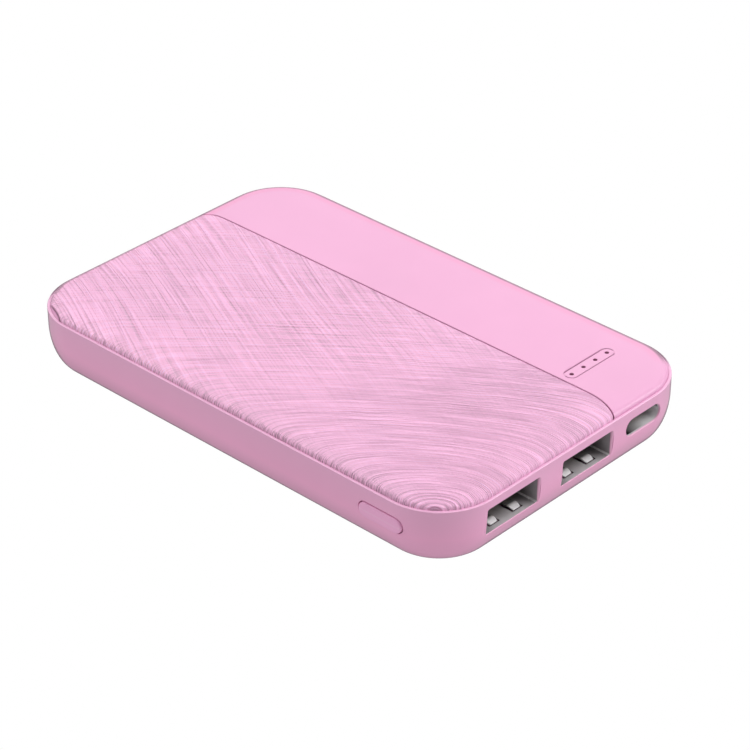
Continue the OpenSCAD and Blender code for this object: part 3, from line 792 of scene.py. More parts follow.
def case_body():
    """Closed skin: outside wall from the foot up, over the lip and down the inside."""
    outer_r, inner_r = LIP_OUTER_R, LIP_INNER_R
    profile = belly(BELLY_IN, BELLY_H, 0, 0, 30)
    profile += [(0, z) for z in np.linspace(BELLY_H, RIM_Z - outer_r, 5)[1:]]
    profile += [(outer_r - outer_r * math.cos(t), RIM_Z - outer_r + outer_r * math.sin(t))
                for t in np.radians([15, 30, 45, 60, 75, 90])]
    flat_end = LIP_W - inner_r
    profile += [(flat_end, RIM_Z)]
    profile += [(flat_end + inner_r * math.sin(t), RIM_Z - inner_r + inner_r * math.cos(t))
                for t in np.radians([45, 90])]
    profile += [(LIP_W, LEDGE_Z), (WALL, LEDGE_Z), (WALL, 9.0)]
    profile += reversed(belly(BELLY_IN - 1.3, BELLY_H - FLOOR, FLOOR, WALL, 10))
    return loft("bottom_shell", [plan_ring(inset, z) for inset, z in profile], "shell_plastic")


def mouth_cutter(centre, half_w, half_h, r, steps, front, edge_r):
    """Cutter for a mouth in the front or left face, its edge rounded along the face's curve."""
    depth = 2.6

    def ring(grow, offset, flat=None):
        outline = rounded_rect(half_w + grow, half_h + grow, r + grow, steps)
        u, z = outline[:, 0] + centre[0], outline[:, 1] + centre[1]
        inward = skin_inset(z) + offset if flat is None else np.full(len(z), flat)
        if front:
            return np.stack([u, -(HALF_Y - inward), z], 1)
        return np.stack([-(HALF_X - inward), u, z], 1)

    bevel = [(edge_r * (1 - math.sin(t)), edge_r * (1 - math.cos(t)))
             for t in np.radians([20, 38, 56, 73, 90])]
    # the round runs on straight, out through the face
    (grow0, offset0), (grow1, offset1) = bevel[:2]
    run_on = (grow0 + (grow0 - grow1) * 0.9, offset0 - (offset1 - offset0) * 0.9)
    rings = [ring(edge_r * 1.5, 0, flat=-2.0)]
    rings += [ring(grow, offset) for grow, offset in [run_on] + bevel]
    rings.append(ring(0, 0, flat=depth))
    return loft("mouth", rings, "shell_plastic", flip=front)


def case_cutters():
    cutters = []
    half_w, half_h = A_HALF_W + 0.02, A_HALF_H + 0.02
    for x, z in USB_A:
        cutters.append(box_mesh("pocket", (x - half_w, A_FRONT - 0.02, z - half_h),
                                (x + half_w, PORT_Y + 3, z + half_h)))
        for sign in (-1, 1):
            middle = x + sign * FINGER_X
            cutters.append(box_mesh("relief", (middle - 1.6, PORT_Y + 1.25, 3.3),
                                    (middle + 1.6, PORT_Y + 4, 4.5)))
        cutters.append(mouth_cutter((x + 0.12, z), 6.36, 2.45, 0.22, steps=5, front=True,
                                    edge_r=0.32))
    x, z = USB_C
    cutters.append(mouth_cutter((x + 0.05, z), 4.56, 1.60, 1.60, steps=10, front=True,
                                edge_r=0.30))
    half_w, half_h = C_HALF_W + 0.04, C_HALF_H + 0.04
    stations = [(half_w, half_h, half_h, y) for y in (C_FRONT - 0.02, PORT_Y + 3)]
    cutters.append(loft("pocket", upright_rings(x, z, stations, steps=10), "shell_plastic",
                        flip=True))
    cutters.append(mouth_cutter((BUTTON_Y, BUTTON_Z), BUTTON_L / 2, BUTTON_H / 2, BUTTON_H / 2,
                                steps=12, front=False, edge_r=0.10))
    return cutters


def darken_reliefs(case):
    """Painted shade: near-black material in the recesses under the spring fingers."""
    case.data.materials.append(LOOKS["recess_shade_plastic"])
    for polygon in case.data.polygons:
        x, y, z = polygon.center * 1000
        if 3.2 < z < 4.45 and PORT_Y + 1.0 < y < PORT_Y + 4.1:
            if any(abs(abs(x - socket_x) - FINGER_X) < 1.65 for socket_x, _ in USB_A):
                polygon.material_index = 1


def exact_normals(ob):
    """Gives the outer skin its true normals, so wide faces round the mouths shade evenly."""
    me = ob.data
    co = np.empty(len(me.vertices) * 3)
    me.vertices.foreach_get("co", co)
    co = co.reshape(-1, 3) * 1000
    corner = np.empty(len(me.loops) * 3)
    me.corner_normals.foreach_get("vector", corner)
    corner = corner.reshape(-1, 3)
    x, y, z = co.T
    inset = plan_inset(x, y)
    depth = inset - skin_inset(z)
    on_skin = (np.abs(depth) < 0.02) & (z < RIM_Z - 0.13) & (z > 0.02)
    step = 1e-3
    gx, gy = gradient(plan_inset, x, y, step)
    gz = (skin_inset(np.clip(z + step, 0, BELLY_H))
          - skin_inset(np.clip(z - step, 0, BELLY_H))) / (2 * step)
    normals = np.stack([-gx, -gy, gz], 1)
    normals /= np.linalg.norm(normals, axis=1)[:, None]
    for polygon in me.polygons:
        corners = list(polygon.vertices)
        if not on_skin[corners].all():
            continue
        middle = co[corners].mean(0)
        off_skin = float(plan_inset(middle[0], middle[1])) - float(skin_inset(middle[2]))
        outward = np.dot(np.array(polygon.normal), normals[corners].mean(0)) > 0.6
        if abs(off_skin) < 0.12 and outward:
            for loop in polygon.loop_indices:
                corner[loop] = normals[me.loops[loop].vertex_index]
    me.normals_split_custom_set(corner.tolist())
    # painted highlight: the rounded edges of the mouths are painted paler, as if lit
    edge_paling = (depth > 0.03) & (depth < 0.33) & (z > 3.5) & (z < RIM_Z - 0.5)
    attribute = me.attributes.new("mouth_edge_highlight", "FLOAT", "POINT")
    attribute.data.foreach_set("value", edge_paling.astype(np.float32))


case = case_body()
combine(case, case_cutters())
darken_reliefs(case)
sharpen(case, 38, weighted=False)
exact_normals(case)
register(case, "bottom_case", "case")

# ---------------------------------------------------------------- crown and seam outlines

# The crescent at the back left corner: an arc of the top's edge, cut off by a flatter arc
LENS_CORNER = np.array((-(HALF_X - CORNER_R), HALF_Y - CORNER_R))
LENS_MID, LENS_HALF, LENS_CUT = math.radians(156.5), math.radians(13.4), 0.45
LENS_CHORD = TOP_R * math.sin(LENS_HALF)
LENS_SAG = LENS_CUT - TOP_R * (1 - math.cos(LENS_HALF))
LENS_R = (LENS_CHORD ** 2 + LENS_SAG ** 2) / (2 * LENS_SAG)
LENS_CENTRE = LENS_CORNER + (TOP_R - LENS_CUT + LENS_R) * np.array(
    (math.cos(LENS_MID), math.sin(LENS_MID)))


def crown_z(inset):
    """Height of the top at an inset from the case outline: a quick rise, then a slow one."""
    e = np.maximum(np.asarray(inset, float) - EDGE, 0)
    rise = 1 - 0.37 * np.exp(-e / 2.8) - 0.58 * np.exp(-e / 0.22)
    return RIM_Z - 0.03 + (CROWN + 0.03) * rise


def seam_inside(x, y, gap):
    """Signed distance inside the panel from the seam, its two rounded ends and the crescent."""
    x, y = np.broadcast_arrays(np.asarray(x, float), np.asarray(y, float))
    inside = SEAM_X - gap - x
    near_x, near_y = SEAM_X - NEAR_R, -HALF_Y + NEAR_END
    near = NEAR_R - gap - np.hypot(x - near_x, y - near_y)
    inside = np.where((y < near_y) & (x > near_x), near, inside)
    far_x, far_y = SEAM_X - FAR_R, HALF_Y - FAR_R
    far = FAR_R - gap - np.hypot(x - far_x, y - far_y)
    inside = np.where((y > far_y) & (x > far_x), far, inside)
    lens = np.hypot(x - LENS_CENTRE[0], y - LENS_CENTRE[1]) - LENS_R - gap * 0.6
    return np.where((x < -18) & (y > 30), np.minimum(inside, lens), inside)


def smooth_min(a, b, k=0.3):
    h = np.clip(0.5 + 0.5 * (b - a) / k, 0, 1)
    return b + (a - b) * h - k * h * (1 - h)


def panel_inside(x, y):
    return smooth_min(plan_inset(x, y) - EDGE, seam_inside(x, y, SEAM_GAP))


def strip_inside(x, y):
    """Inside the strip: beyond the seam and within the edge of the top."""
    x, y = np.broadcast_arrays(np.asarray(x, float), np.asarray(y, float))
    return smooth_min(plan_inset(x, y) - EDGE, np.where(x > 0, -seam_inside(x, y, 0.0), -5.0))


# ---------------------------------------------------------------- filling an area with faces


def trace(inside, start, step, most=6000):
    """Walks anticlockwise round the zero line of a signed distance (inside positive)."""

    def slope(p):
        g = np.array(gradient(inside, p[0], p[1], 1e-4), float)
        return g / max(np.linalg.norm(g), 1e-9)

    def settle(p):
        for _ in range(4):
            p = p - slope(p) * float(inside(p[0], p[1]))
        return p

    point = settle(np.array(start, float))
    points = [point]
    for i in range(most):
        g = slope(point)
        point = settle(point + np.array((g[1], -g[0])) * step)
        points.append(point)
        if i > 20 and np.linalg.norm(point - points[0]) < step * 0.75:
            points.pop()
            break
    return np.array(points)


def inner_ring(inside, ring, depth):
    """Moves a ring inwards until it lies at a depth."""
    p = ring.copy()
    for _ in range(12):
        distance = inside(p[:, 0], p[:, 1])
        gx, gy = gradient(inside, p[:, 0], p[:, 1], 1e-4)
        length = np.maximum(np.hypot(gx, gy), 1e-6)
        p = p + np.stack([gx / length, gy / length], 1) * (0.75 * (depth - distance))[:, None]
    return p


def square_grid(inside, inner, size, keep, first):
    """Square cells deeper than keep. Returns points, quads, border edges and a cell test."""
    x0, y0 = inner.min(0)
    x1, y1 = inner.max(0)
    nx, ny = int((x1 - x0) / size) + 1, int((y1 - y0) / size) + 1
    grid_x = x0 + (x1 - x0 - (nx - 1) * size) / 2 + size * np.arange(nx)
    grid_y = y0 + (y1 - y0 - (ny - 1) * size) / 2 + size * np.arange(ny)
    X, Y = np.meshgrid(grid_x, grid_y, indexing="ij")
    deep = inside(X, Y) > keep
    cell = deep[:-1, :-1] & deep[1:, :-1] & deep[1:, 1:] & deep[:-1, 1:]
    used = np.zeros_like(deep)
    for corner in (used[:-1, :-1], used[1:, :-1], used[1:, 1:], used[:-1, 1:]):
        corner |= cell
    index = -np.ones(deep.shape, int)
    index[used] = first + np.arange(used.sum())
    i, j = np.nonzero(cell)
    quads = np.stack([index[i, j], index[i + 1, j], index[i + 1, j + 1], index[i, j + 1]], 1)

    padded = np.pad(cell, 1)
    edges = []
    # step to the neighbour, then the two corners of the shared side
    for di, dj, a, b in ((0, -1, (0, 0), (1, 0)), (1, 0, (1, 0), (1, 1)),
                         (0, 1, (1, 1), (0, 1)), (-1, 0, (0, 1), (0, 0))):
        neighbour = padded[1 + di:padded.shape[0] - 1 + di, 1 + dj:padded.shape[1] - 1 + dj]
        for i, j in zip(*np.nonzero(cell & ~neighbour)):
            edges.append((index[i + a[0], j + a[1]], index[i + b[0], j + b[1]]))

    def covered(places):
        i = np.floor((places[:, 0] - grid_x[0]) / size).astype(int)
        j = np.floor((places[:, 1] - grid_y[0]) / size).astype(int)
        valid = (i >= 0) & (j >= 0) & (i < cell.shape[0]) & (j < cell.shape[1])
        out = np.zeros(len(places), bool)
        out[valid] = cell[i[valid], j[valid]]
        return out

    return np.stack([X[used], Y[used]], 1), [tuple(q) for q in quads.tolist()], edges, covered


def join_band(points, ring, edges, inside, depth, covered):
    """Triangles between the innermost ring and the staircase border of the grid."""
    band = list(ring) + sorted({end for edge in edges for end in edge})
    back = {point: k for k, point in enumerate(band)}
    n = len(ring)
    constraints = [(k, (k + 1) % n) for k in range(n)] + [(back[a], back[b]) for a, b in edges]
    result = delaunay_2d_cdt([Vector(points[k]) for k in band], constraints, [], 0, 1e-7)
    places, triangles, sources = result[0], result[2], result[3]
    source = [band[found[0]] if found else None for found in sources]
    triangles = np.array([t for t in triangles if all(source[i] is not None for i in t)])
    middles = np.array([places[k] for k in range(len(places))])[triangles].mean(1)
    wanted = inside(middles[:, 0], middles[:, 1]) > depth - 1e-6
    faces = []
    for triangle in triangles[wanted & ~covered(middles)]:
        a, b, c = (source[i] for i in triangle)
        pa, pb, pc = points[a], points[b], points[c]
        if (pb[0] - pa[0]) * (pc[1] - pa[1]) - (pb[1] - pa[1]) * (pc[0] - pa[0]) < 0:
            b, c = c, b
        faces.append((a, b, c))
    return faces


def fill_area(inside, depths, step, grid, seed, keep):
    """Rings at the given depths, then a square grid joined on by triangles.

    Returns points (x, y), the number of points in the outline, which come first, and faces.
    """
    outline = trace(inside, seed, step)
    rings = [outline] + [inner_ring(inside, outline, depth) for depth in depths[1:]]
    n, count = len(outline), len(rings) * len(outline)
    faces = []
    for k in range(len(rings) - 1):
        for j in range(n):
            i = (j + 1) % n
            faces.append((k * n + j, k * n + i, (k + 1) * n + i, (k + 1) * n + j))
    cells, quads, edges, covered = square_grid(inside, rings[-1], grid, keep, count)
    points = np.vstack(rings + [cells])
    faces += quads
    faces += join_band(points, np.arange(count - n, count), edges, inside, depths[-1], covered)
    return points, n, faces


def close_below(name, top, points, n, z, faces, look):
    """Adds upright walls under the outline and a flat underside."""
    bottom = np.stack([points[:n, 0], points[:n, 1], np.full(n, z)], 1)
    m = len(top)
    walls = [(m + j, m + (j + 1) % n, (j + 1) % n, j) for j in range(n)]
    underside = [tuple(range(m + n - 1, m - 1, -1))]
    return mesh_object(name, np.vstack([top, bottom]), faces + walls + underside, look)


def mark(me, name, values, n, kind="FLOAT", key="value"):
    """Point attribute; the n points of the underside repeat those of the outline."""
    full = np.concatenate([values, values[:n]]).astype(np.float32)
    me.attributes.new(name, kind, "POINT").data.foreach_set(key, full.ravel())


def mark_seam(me, distance, n):
    """Marks how close each point is to the seam, for the painted shade along it."""
    mark(me, "seam_shade", 1 - smoothstep(0.02, 0.15, np.maximum(distance, 0)), n)


def crown_points(x, y, seam_distance, seam_r):
    """Points on the crown with a small round along the seam, and the crown's normals."""
    z = crown_z(plan_inset(x, y))
    zx, zy = gradient(lambda u, v: crown_z(plan_inset(u, v)), x, y, 2e-3)
    normals = np.stack([-zx, -zy, np.ones_like(z)], 1)
    normals /= np.linalg.norm(normals, axis=1)[:, None]
    seam = np.clip(1 - np.maximum(seam_distance, 0) / seam_r, 0, 1)
    drop = seam_r * (1 - np.sqrt(1 - seam ** 2))
    return np.stack([x, y, z - drop], 1), normals


# ---------------------------------------------------------------- relief of the ridged panel


def ring_coord(x, y):
    """Ring number in mm: round near the front left corner, nearly straight far from it."""
    dx, dy = np.abs(x - RING_X), np.abs(y - RING_Y)
    a = np.maximum(dx, dy) + 1e-6
    for _ in range(18):
        power = 1.08 + 0.92 * np.exp(-a / 10.5)       # 2 is round, 1 is straight
        stretch = 1 + 0.30 * (1 - np.exp(-a / 16.0))
        u = np.clip((a - 7.0) / 15.0, 0, 1)
        u = u * u * (3 - 2 * u)
        round_x, round_y = 1.8 * u, 5.0 * u           # rounds off the ends at the axes
        ex = np.sqrt(dx * dx + round_x * round_x) - round_x
        ey = np.sqrt(dy * dy + round_y * round_y) - round_y
        b = ((ex ** power + (ey / stretch) ** power) ** (1 / power)
             + 0.9 * (round_x + round_y / 1.3))
        a = b * 0.5 + a * 0.5 + 1e-9
    return a


def slant_coord(x, y):
    """Distance across the slanting lines, which waver a little."""
    return (x * math.sin(SLANT) - y * math.cos(SLANT) + 0.35 * np.sin(y / 9.0 + 0.4)
            + 0.2 * np.sin(x / 6.0 + y / 21.0))


def waves(count, shortest, longest, seed):
    """Random wavelengths, phases and strengths."""
    random = np.random.RandomState(seed)
    lengths = shortest * (longest / shortest) ** random.rand(count)
    phases = random.rand(count) * 2 * math.pi
    return lengths, phases, (lengths / longest) ** 0.7 * (0.6 + 0.8 * random.rand(count))


def series(t, wave_set):
    strengths = wave_set[2]
    out = np.zeros_like(t)
    for length, phase, strength in zip(*wave_set):
        out += strength * np.sin(2 * math.pi * t / length + phase)
    return out / math.sqrt((strengths ** 2).sum() / 2)


def patches(x, y, seed, size):
    """Slow random variation over the surface."""
    random = np.random.RandomState(seed)
    out = np.zeros_like(x)
    for _ in range(10):
        angle = random.rand() * math.pi
        length = size * (0.6 + 1.2 * random.rand())
        phase = random.rand() * 6.28
        along = x * math.cos(angle) + y * math.sin(angle)
        out += np.sin(along * 2 * math.pi / length + phase)
    return out / math.sqrt(5)


def crest(v):
    """Keeps the crests and halves the troughs."""
    return np.where(v > 0, v, 0.5 * v)


def single_line(t, at, width, height):
    return height * np.exp(-((t - at) / width) ** 2)


def bell(t, width, power=2):
    return np.exp(-(t / width) ** power)


RING_WAVES = waves(26, 0.95, 2.6, seed=3)
CROSS_WAVES = waves(18, 0.95, 1.7, seed=5)
SLANT_WAVES = waves(26, 0.95, 2.8, seed=8)

# single ridges and grooves of each family: place, width, height
RING_LINES = (
    (7.3, .25, .05), (9.3, .3, .06), (11.5, .22, .04), (14.8, .25, .045), (16.7, .28, .055),
    (22.1, .3, .045), (25.4, .28, .06), (27.1, .25, .05), (35.8, .5, .075), (37.3, .22, -.045),
    (38.4, .22, .045), (46.0, .3, .04), (52.0, .35, -.045), (61.0, .3, -.055), (66.0, .3, -.05),
)
SLANT_LINES = (
    (-37.9, .3, -.06), (-36.1, .25, -.05), (-29.3, .3, -.06), (-27.7, .3, -.07),
    (-23.3, .35, -.08), (-19.5, .3, .05), (-14.8, .3, -.07), (-13.6, .3, .06),
    (-11.2, .3, -.065), (-7.4, .3, .05), (-5.6, .25, -.04), (-2.2, .3, -.06), (1.6, .3, -.04),
)


def relief(x, y):
    """Height of the ridges at each point and the values the panel's material reads."""
    ring = ring_coord(x, y) + 0.06 * patches(x, y, 21, 9.0)
    slant = slant_coord(x, y)
    # where each family rules: rings in front and to the left, slants behind and to the right
    diagonal = y + 0.55 * x
    far = smoothstep(-20, 24, diagonal)
    ring_share = (1 - 0.55 * far) * (0.75 + 0.30 * patches(x, y, 31, 7.0))
    slant_share = far * (0.80 + 0.30 * patches(x, y, 33, 9.0))
    near = bell(ring, 6.5, 1.6)
    # quieter at the front right, in front of the diagonal and along the front edge
    calm = 1 - 0.45 * smoothstep(-14, 8, x) * smoothstep(-18, -38, y)
    calm = calm * (0.52 + 0.48 * smoothstep(-16, 6, diagonal))
    fade = 1 - 0.72 * (1 - smoothstep(2, 16, y + HALF_Y)) * smoothstep(-26, -14, x)

    h = 0.029 * calm * ring_share * (1 - near) * crest(series(ring, RING_WAVES))
    h += (0.012 * calm * (1 - far) * (1 - near)
          * crest(series(ring * 0.97 + 0.12 * y, CROSS_WAVES)))
    h += 0.13 * near * np.sin(2 * math.pi * (ring - RING_START) / RING_STEP)
    for line in RING_LINES:
        h += (0.75 * calm * single_line(ring, *line)
              * (0.75 + 0.25 * np.clip(ring_share, 0, 1.4)))
    slant_height = 0.029 + 0.014 * smoothstep(-14, 2, x) * smoothstep(-6, 16, y)
    h += slant_height * slant_share * crest(series(slant, SLANT_WAVES))
    for line in SLANT_LINES:
        h += 0.85 * single_line(slant, *line) * slant_share
    h *= fade

    # teeth where the ridges run out over the rolled edge of the long left side
    rim = np.maximum(plan_inset(x, y) - EDGE, 0)
    tooth = ring * (1 + 0.30 * (1 - np.exp(-ring / 16.0)))
    pitch = 0.40
    comb = (0.5 + 0.5 * np.sin(2 * math.pi * tooth / pitch + 1.5 * np.sin(ring / 2.1)
                               + 0.8 * np.sin(ring / 0.83))) ** 1.6
    side = smoothstep(-2.0, 6.0, (y - RING_Y) - 1.6 * (x - RING_X))
    # the ridges flatten towards the edge, on that side and on the others
    h = (h * (1 - 0.5 * side * bell(rim, 0.9))
         * (1 - 0.55 * side * smoothstep(5, 10, ring) * bell(rim, 3.4)))
    h = h * (1 - 0.8 * (1 - side) * smoothstep(6, 14, ring) * bell(rim, 1.7))
    h -= (comb * side * (0.046 * bell(rim, 0.60, 1.5) + 0.062 * bell(rim, 0.28))
          * (0.5 + 0.5 * np.exp(-ring / 30)) * smoothstep(2.0, 6.0, ring))

    verge = side * smoothstep(3, 8, ring) * bell(rim, 4.2)
    zone = np.maximum(1 - smoothstep(-32, 4, diagonal), 0.9 * verge)
    gain = (1.25 + zone * (0.18 + 0.45 * smoothstep(-16, -4, x))
            + 0.25 * np.exp(-((diagonal + 8) / 16) ** 2))
    return {"ring_mm": ring, "line_mm": slant, "line_mix": smoothstep(-32, 28, diagonal),
            "ridge": h, "rim_mm": rim, "tooth_mm": tooth,
            "tooth_mix": side * smoothstep(1.5, 4.5, ring) * bell(rim, 0.62, 1.6),
            "fine_gain": gain, "fine_zone": zone}


def build_panel():
    points, n, faces = fill_area(
        panel_inside, depths=[0, 0.03, 0.07, 0.12, 0.18, 0.26, 0.36, 0.48], step=0.112,
        grid=0.243, seed=(-10.0, -HALF_Y + EDGE), keep=0.62)
    x, y = points.T
    seam_distance = seam_inside(x, y, SEAM_GAP)
    top, normals = crown_points(x, y, seam_distance, seam_r=0.14)
    fields = relief(x, y)
    h = np.clip(fields["ridge"], -0.34, 0.14) * smoothstep(-0.05, 0.35, seam_distance)
    # nothing stands proud right at the rim
    h = np.where(plan_inset(x, y) - EDGE < 0.12, np.minimum(h, 0.0), h)
    fields["ridge"] = h
    ob = close_below("ridged_panel", top + normals * h[:, None], points, n, PANEL_Z, faces,
                     "panel_plastic")
    for name, values in fields.items():
        mark(ob.data, name, values, n)
    mark_seam(ob.data, seam_distance, n)
    # painted shade, fixed: a little darker towards the borders, except at the front
    inward = np.maximum(plan_inset(x, y) - EDGE, 0)
    deep = bell(inward, 3.0) * smoothstep(-46, -34, y)
    tint = np.stack([1 - amount * deep for amount in (0.10, 0.08, 0.10)], 1)
    mark(ob.data, "verge_shade", tint, n, kind="FLOAT_VECTOR", key="vector")
    ob.data.set_sharp_from_angle(angle=math.radians(60))
    return ob


register(build_panel(), "texture_panel", "case")

# ---------------------------------------------------------------- cover with the insert's pocket


def stadium_ring(length, width, z):
    outline = rounded_rect(length / 2, width / 2, width / 2, 16)
    return np.stack([outline[:, 0] + INSERT_X, outline[:, 1] + INSERT_Y,
                     np.full(len(outline), z)], 1)


def build_strip():
    points, n, faces = fill_area(
        strip_inside, depths=[0, 0.03, 0.07, 0.12, 0.18, 0.26, 0.36, 0.5, 0.75, 1.1], step=0.55,
        grid=0.8, seed=(HALF_X - EDGE, 0.0), keep=1.5)
    x, y = points.T
    seam_distance = -seam_inside(x, y, 0.0)
    top, _ = crown_points(x, y, seam_distance, seam_r=0.12)
    strip = close_below("cover_strip", top, points, n, LEDGE_Z + 0.02, faces, "cover_plastic")
    mark_seam(strip.data, seam_distance, n)

    edge_r = 0.07
    surface = crown_z(plan_inset(INSERT_X, INSERT_Y))
    # growth of the pocket's outline and height
    stations = [(0, 11.2), (0, surface - edge_r), (edge_r, surface - edge_r * 0.35),
                (edge_r * 6, surface + edge_r * 1.6)]
    rings = [stadium_ring(INSERT_L + grow, INSERT_W + grow, z) for grow, z in stations]
    return combine(strip, [loft("pocket", rings, "cover_plastic")])


def build_carrier():
    """Plate under the panel and the strip."""
    stations = [(1.9, 10.2), (1.9, LEDGE_Z + 0.02), (EDGE, LEDGE_Z + 0.02), (EDGE, CARRIER_Z)]
    return loft("carrier", [plan_ring(inset, z) for inset, z in stations], "cover_plastic")


def build_crescent():
    """Sliver of the cover showing outside the panel at the back left corner."""
    inner, outer = [], []
    for angle in np.linspace(LENS_MID - LENS_HALF, LENS_MID + LENS_HALF, 40):
        way = np.array((math.cos(angle), math.sin(angle)))
        # where the ray from the corner centre meets the lens circle
        offset = LENS_CORNER - LENS_CENTRE
        b = np.dot(way, offset)
        c = np.dot(offset, offset) - LENS_R ** 2
        reach = min(-b - math.sqrt(max(b * b - c, 0)), TOP_R - 0.012)
        inner.append(LENS_CORNER + way * reach)
        outer.append(LENS_CORNER + way * TOP_R)
    inner, outer = np.array(inner), np.array(outer)
    n = len(outer)

    def row(points, z):
        return np.stack([points[:, 0], points[:, 1], np.full(n, z)], 1)

    rows = [row(outer, CARRIER_Z - 0.3)]
    rows += [row(outer + (inner - outer) * w, RIM_Z + 0.015 + 0.30 * w)
             for w in (0, 0.12, 0.3, 0.5, 0.7, 0.88, 1.0)]
    rows.append(row(inner, CARRIER_Z - 0.3))
    faces = []
    for k in range(len(rows)):
        k2 = (k + 1) % len(rows)
        for j in range(n - 1):
            faces.append((k * n + j, k2 * n + j, k2 * n + j + 1, k * n + j + 1))
    faces.append(tuple(k * n for k in range(len(rows) - 1, -1, -1)))
    faces.append(tuple(k * n + n - 1 for k in range(len(rows))))
    return mesh_object("crescent", np.vstack(rows), faces, "cover_plastic")


cover = join([build_strip(), build_carrier(), build_crescent()], "upper_cover")
sharpen(cover, 40)
register(cover, "top_cover", "case")

# ---------------------------------------------------------------- indicator insert
INSERT_TOP = TOP_Z - 0.03
DOT_PITCH = 3.16


def lobed_ring(shrink, z):
    """Insert outline with a small lobe on each end, close against the pocket wall."""
    p = stadium_ring(INSERT_L - shrink, INSERT_W - shrink, z)
    sign = np.sign(p[:, 0] - INSERT_X)
    ex = np.maximum(np.abs(p[:, 0] - INSERT_X) - (INSERT_L - INSERT_W) / 2, 0)
    dy = p[:, 1] - INSERT_Y
    radius = np.maximum(np.hypot(ex, dy), 1e-6)
    to_lobe = (ex * LOBE_WAY[0] + dy * sign * LOBE_WAY[1]) / radius
    bulge = 0.135 * smoothstep(0.86, 0.95, to_lobe)
    p[:, 0] += sign * ex / radius * bulge
    p[:, 1] += dy / radius * bulge
    return p


def dot_cutter(x):
    """Round hole with a softened edge."""
    angles = np.linspace(0, 2 * math.pi, 33)[:-1]
    # radius, height
    stations = [(0.4, 11.0), (0.4, INSERT_TOP - 0.05), (0.425, INSERT_TOP - 0.02),
                (0.52, INSERT_TOP + 0.05)]
    rings = [[(x + r * math.cos(t), INSERT_Y + r * math.sin(t), z) for t in angles]
             for r, z in stations]
    return loft("dot", rings, "cover_plastic")


# shrink of the outline and depth below the insert's top, up the edge
INSERT_STATIONS = [(0.30, INSERT_TOP - 11.2), (0.30, 0.1), (0.32, 0.045), (0.38, 0.01), (0.50, 0)]
insert = loft("indicator_insert",
              [lobed_ring(shrink, INSERT_TOP - below) for shrink, below in INSERT_STATIONS],
              "cover_plastic")
combine(insert, [dot_cutter(INSERT_X + k * DOT_PITCH) for k in (-1.5, -0.5, 0.5, 1.5)])
sharpen(insert, 40)
register(insert, "indicator_plate", "case")

# ---------------------------------------------------------------- power button


def build_button():
    """Crowned face, rounded shoulder, shaft and flange, with a round stem behind."""
    clearance = 0.19

    def ring(grow, x):
        half_h = BUTTON_H / 2 - clearance + grow
        outline = rounded_rect(BUTTON_L / 2 - clearance + grow, half_h, half_h, 14)
        return np.stack([np.full(len(outline), x), outline[:, 0] + BUTTON_Y,
                         outline[:, 1] + BUTTON_Z], 1)

    # growth of the outline, depth behind the face
    face = [(-1.1, 0.0), (-0.8, 0.006), (-0.5, 0.02), (-0.32, 0.045), (-0.2, 0.08),
            (-0.11, 0.13), (-0.045, 0.2), (-0.01, 0.28), (0, 0.36)]
    # growth of the outline, depth behind the case wall
    shaft = [(0, 2.14), (0.45, 2.15), (0.45, 2.75)]
    rings = [ring(grow, BUTTON_FACE_X + depth) for grow, depth in face]
    rings += [ring(grow, -HALF_X + depth) for grow, depth in shaft]
    key = loft("power_key", rings, "button_plastic", flip=True)

    r = 0.9
    angles = np.linspace(0, 2 * math.pi, 25)[:-1]
    rings = [[(x, BUTTON_Y + r * math.cos(t), BUTTON_Z + 0.1 + r * math.sin(t)) for t in angles]
             for x in (-HALF_X + 2.70, -HALF_X + 2.82)]
    return join([key, loft("stem", rings, "button_plastic")], "power_key")


key = build_button()
sharpen(key, 40)
register(key, "power_button", "power_button")

# ---------------------------------------------------------------- sockets


def sheet_shell(name, centre, half_w, half_h, r, thick, y0, length, windows, look):
    """Folded sheet shell: rounded corners, softened front lip, closed back, cut windows."""
    e = 0.035
    inner_r = max(r - thick, 0.1)
    # (size change from the outside, radius, y), from the inside of the back round the lip
    profile = [(-thick, inner_r, y0 + length - thick), (-thick, inner_r, y0 + e),
               (-thick + e * 0.3, inner_r + e * 0.3, y0 + e * 0.3),
               (-thick + e, inner_r + e, y0), (-e, r - e, y0),
               (-e * 0.3, r - e * 0.3, y0 + e * 0.3), (0, r, y0 + e), (0, r, y0 + length)]
    stations = [(half_w + grow, half_h + grow, radius, y) for grow, radius, y in profile]
    ob = loft(name, upright_rings(*centre, stations, steps=8), look, flip=True)
    return combine(ob, [box_mesh("window", low, high) for low, high in windows])


def tongue_and_block(name, x, nose_z, nose, block_z, block, flip):
    """Tongue united with the solid block behind it."""
    parts = []
    for z, stations in ((nose_z, nose), (block_z, block)):
        rings = upright_rings(x, z, stations, steps=3)
        parts.append(fix_normals(loft(name, rings, "black_plastic", flip)))
    return combine(parts[0], parts[1:], "UNION")


# Spring finger from its flat root over the crest to its tip:
# distance behind SHELL_Y, height above the socket floor
FINGER_PATH = np.array([
    (5.60, 0.0), (5.25, 0.0), (4.9, 0.02), (4.3, 0.12), (3.6, 0.22), (3.0, 0.33), (2.6, 0.41),
    (2.3, 0.455), (2.05, 0.47), (1.85, 0.455), (1.6, 0.38), (1.35, 0.265), (1.12, 0.16),
    (0.95, 0.07)])


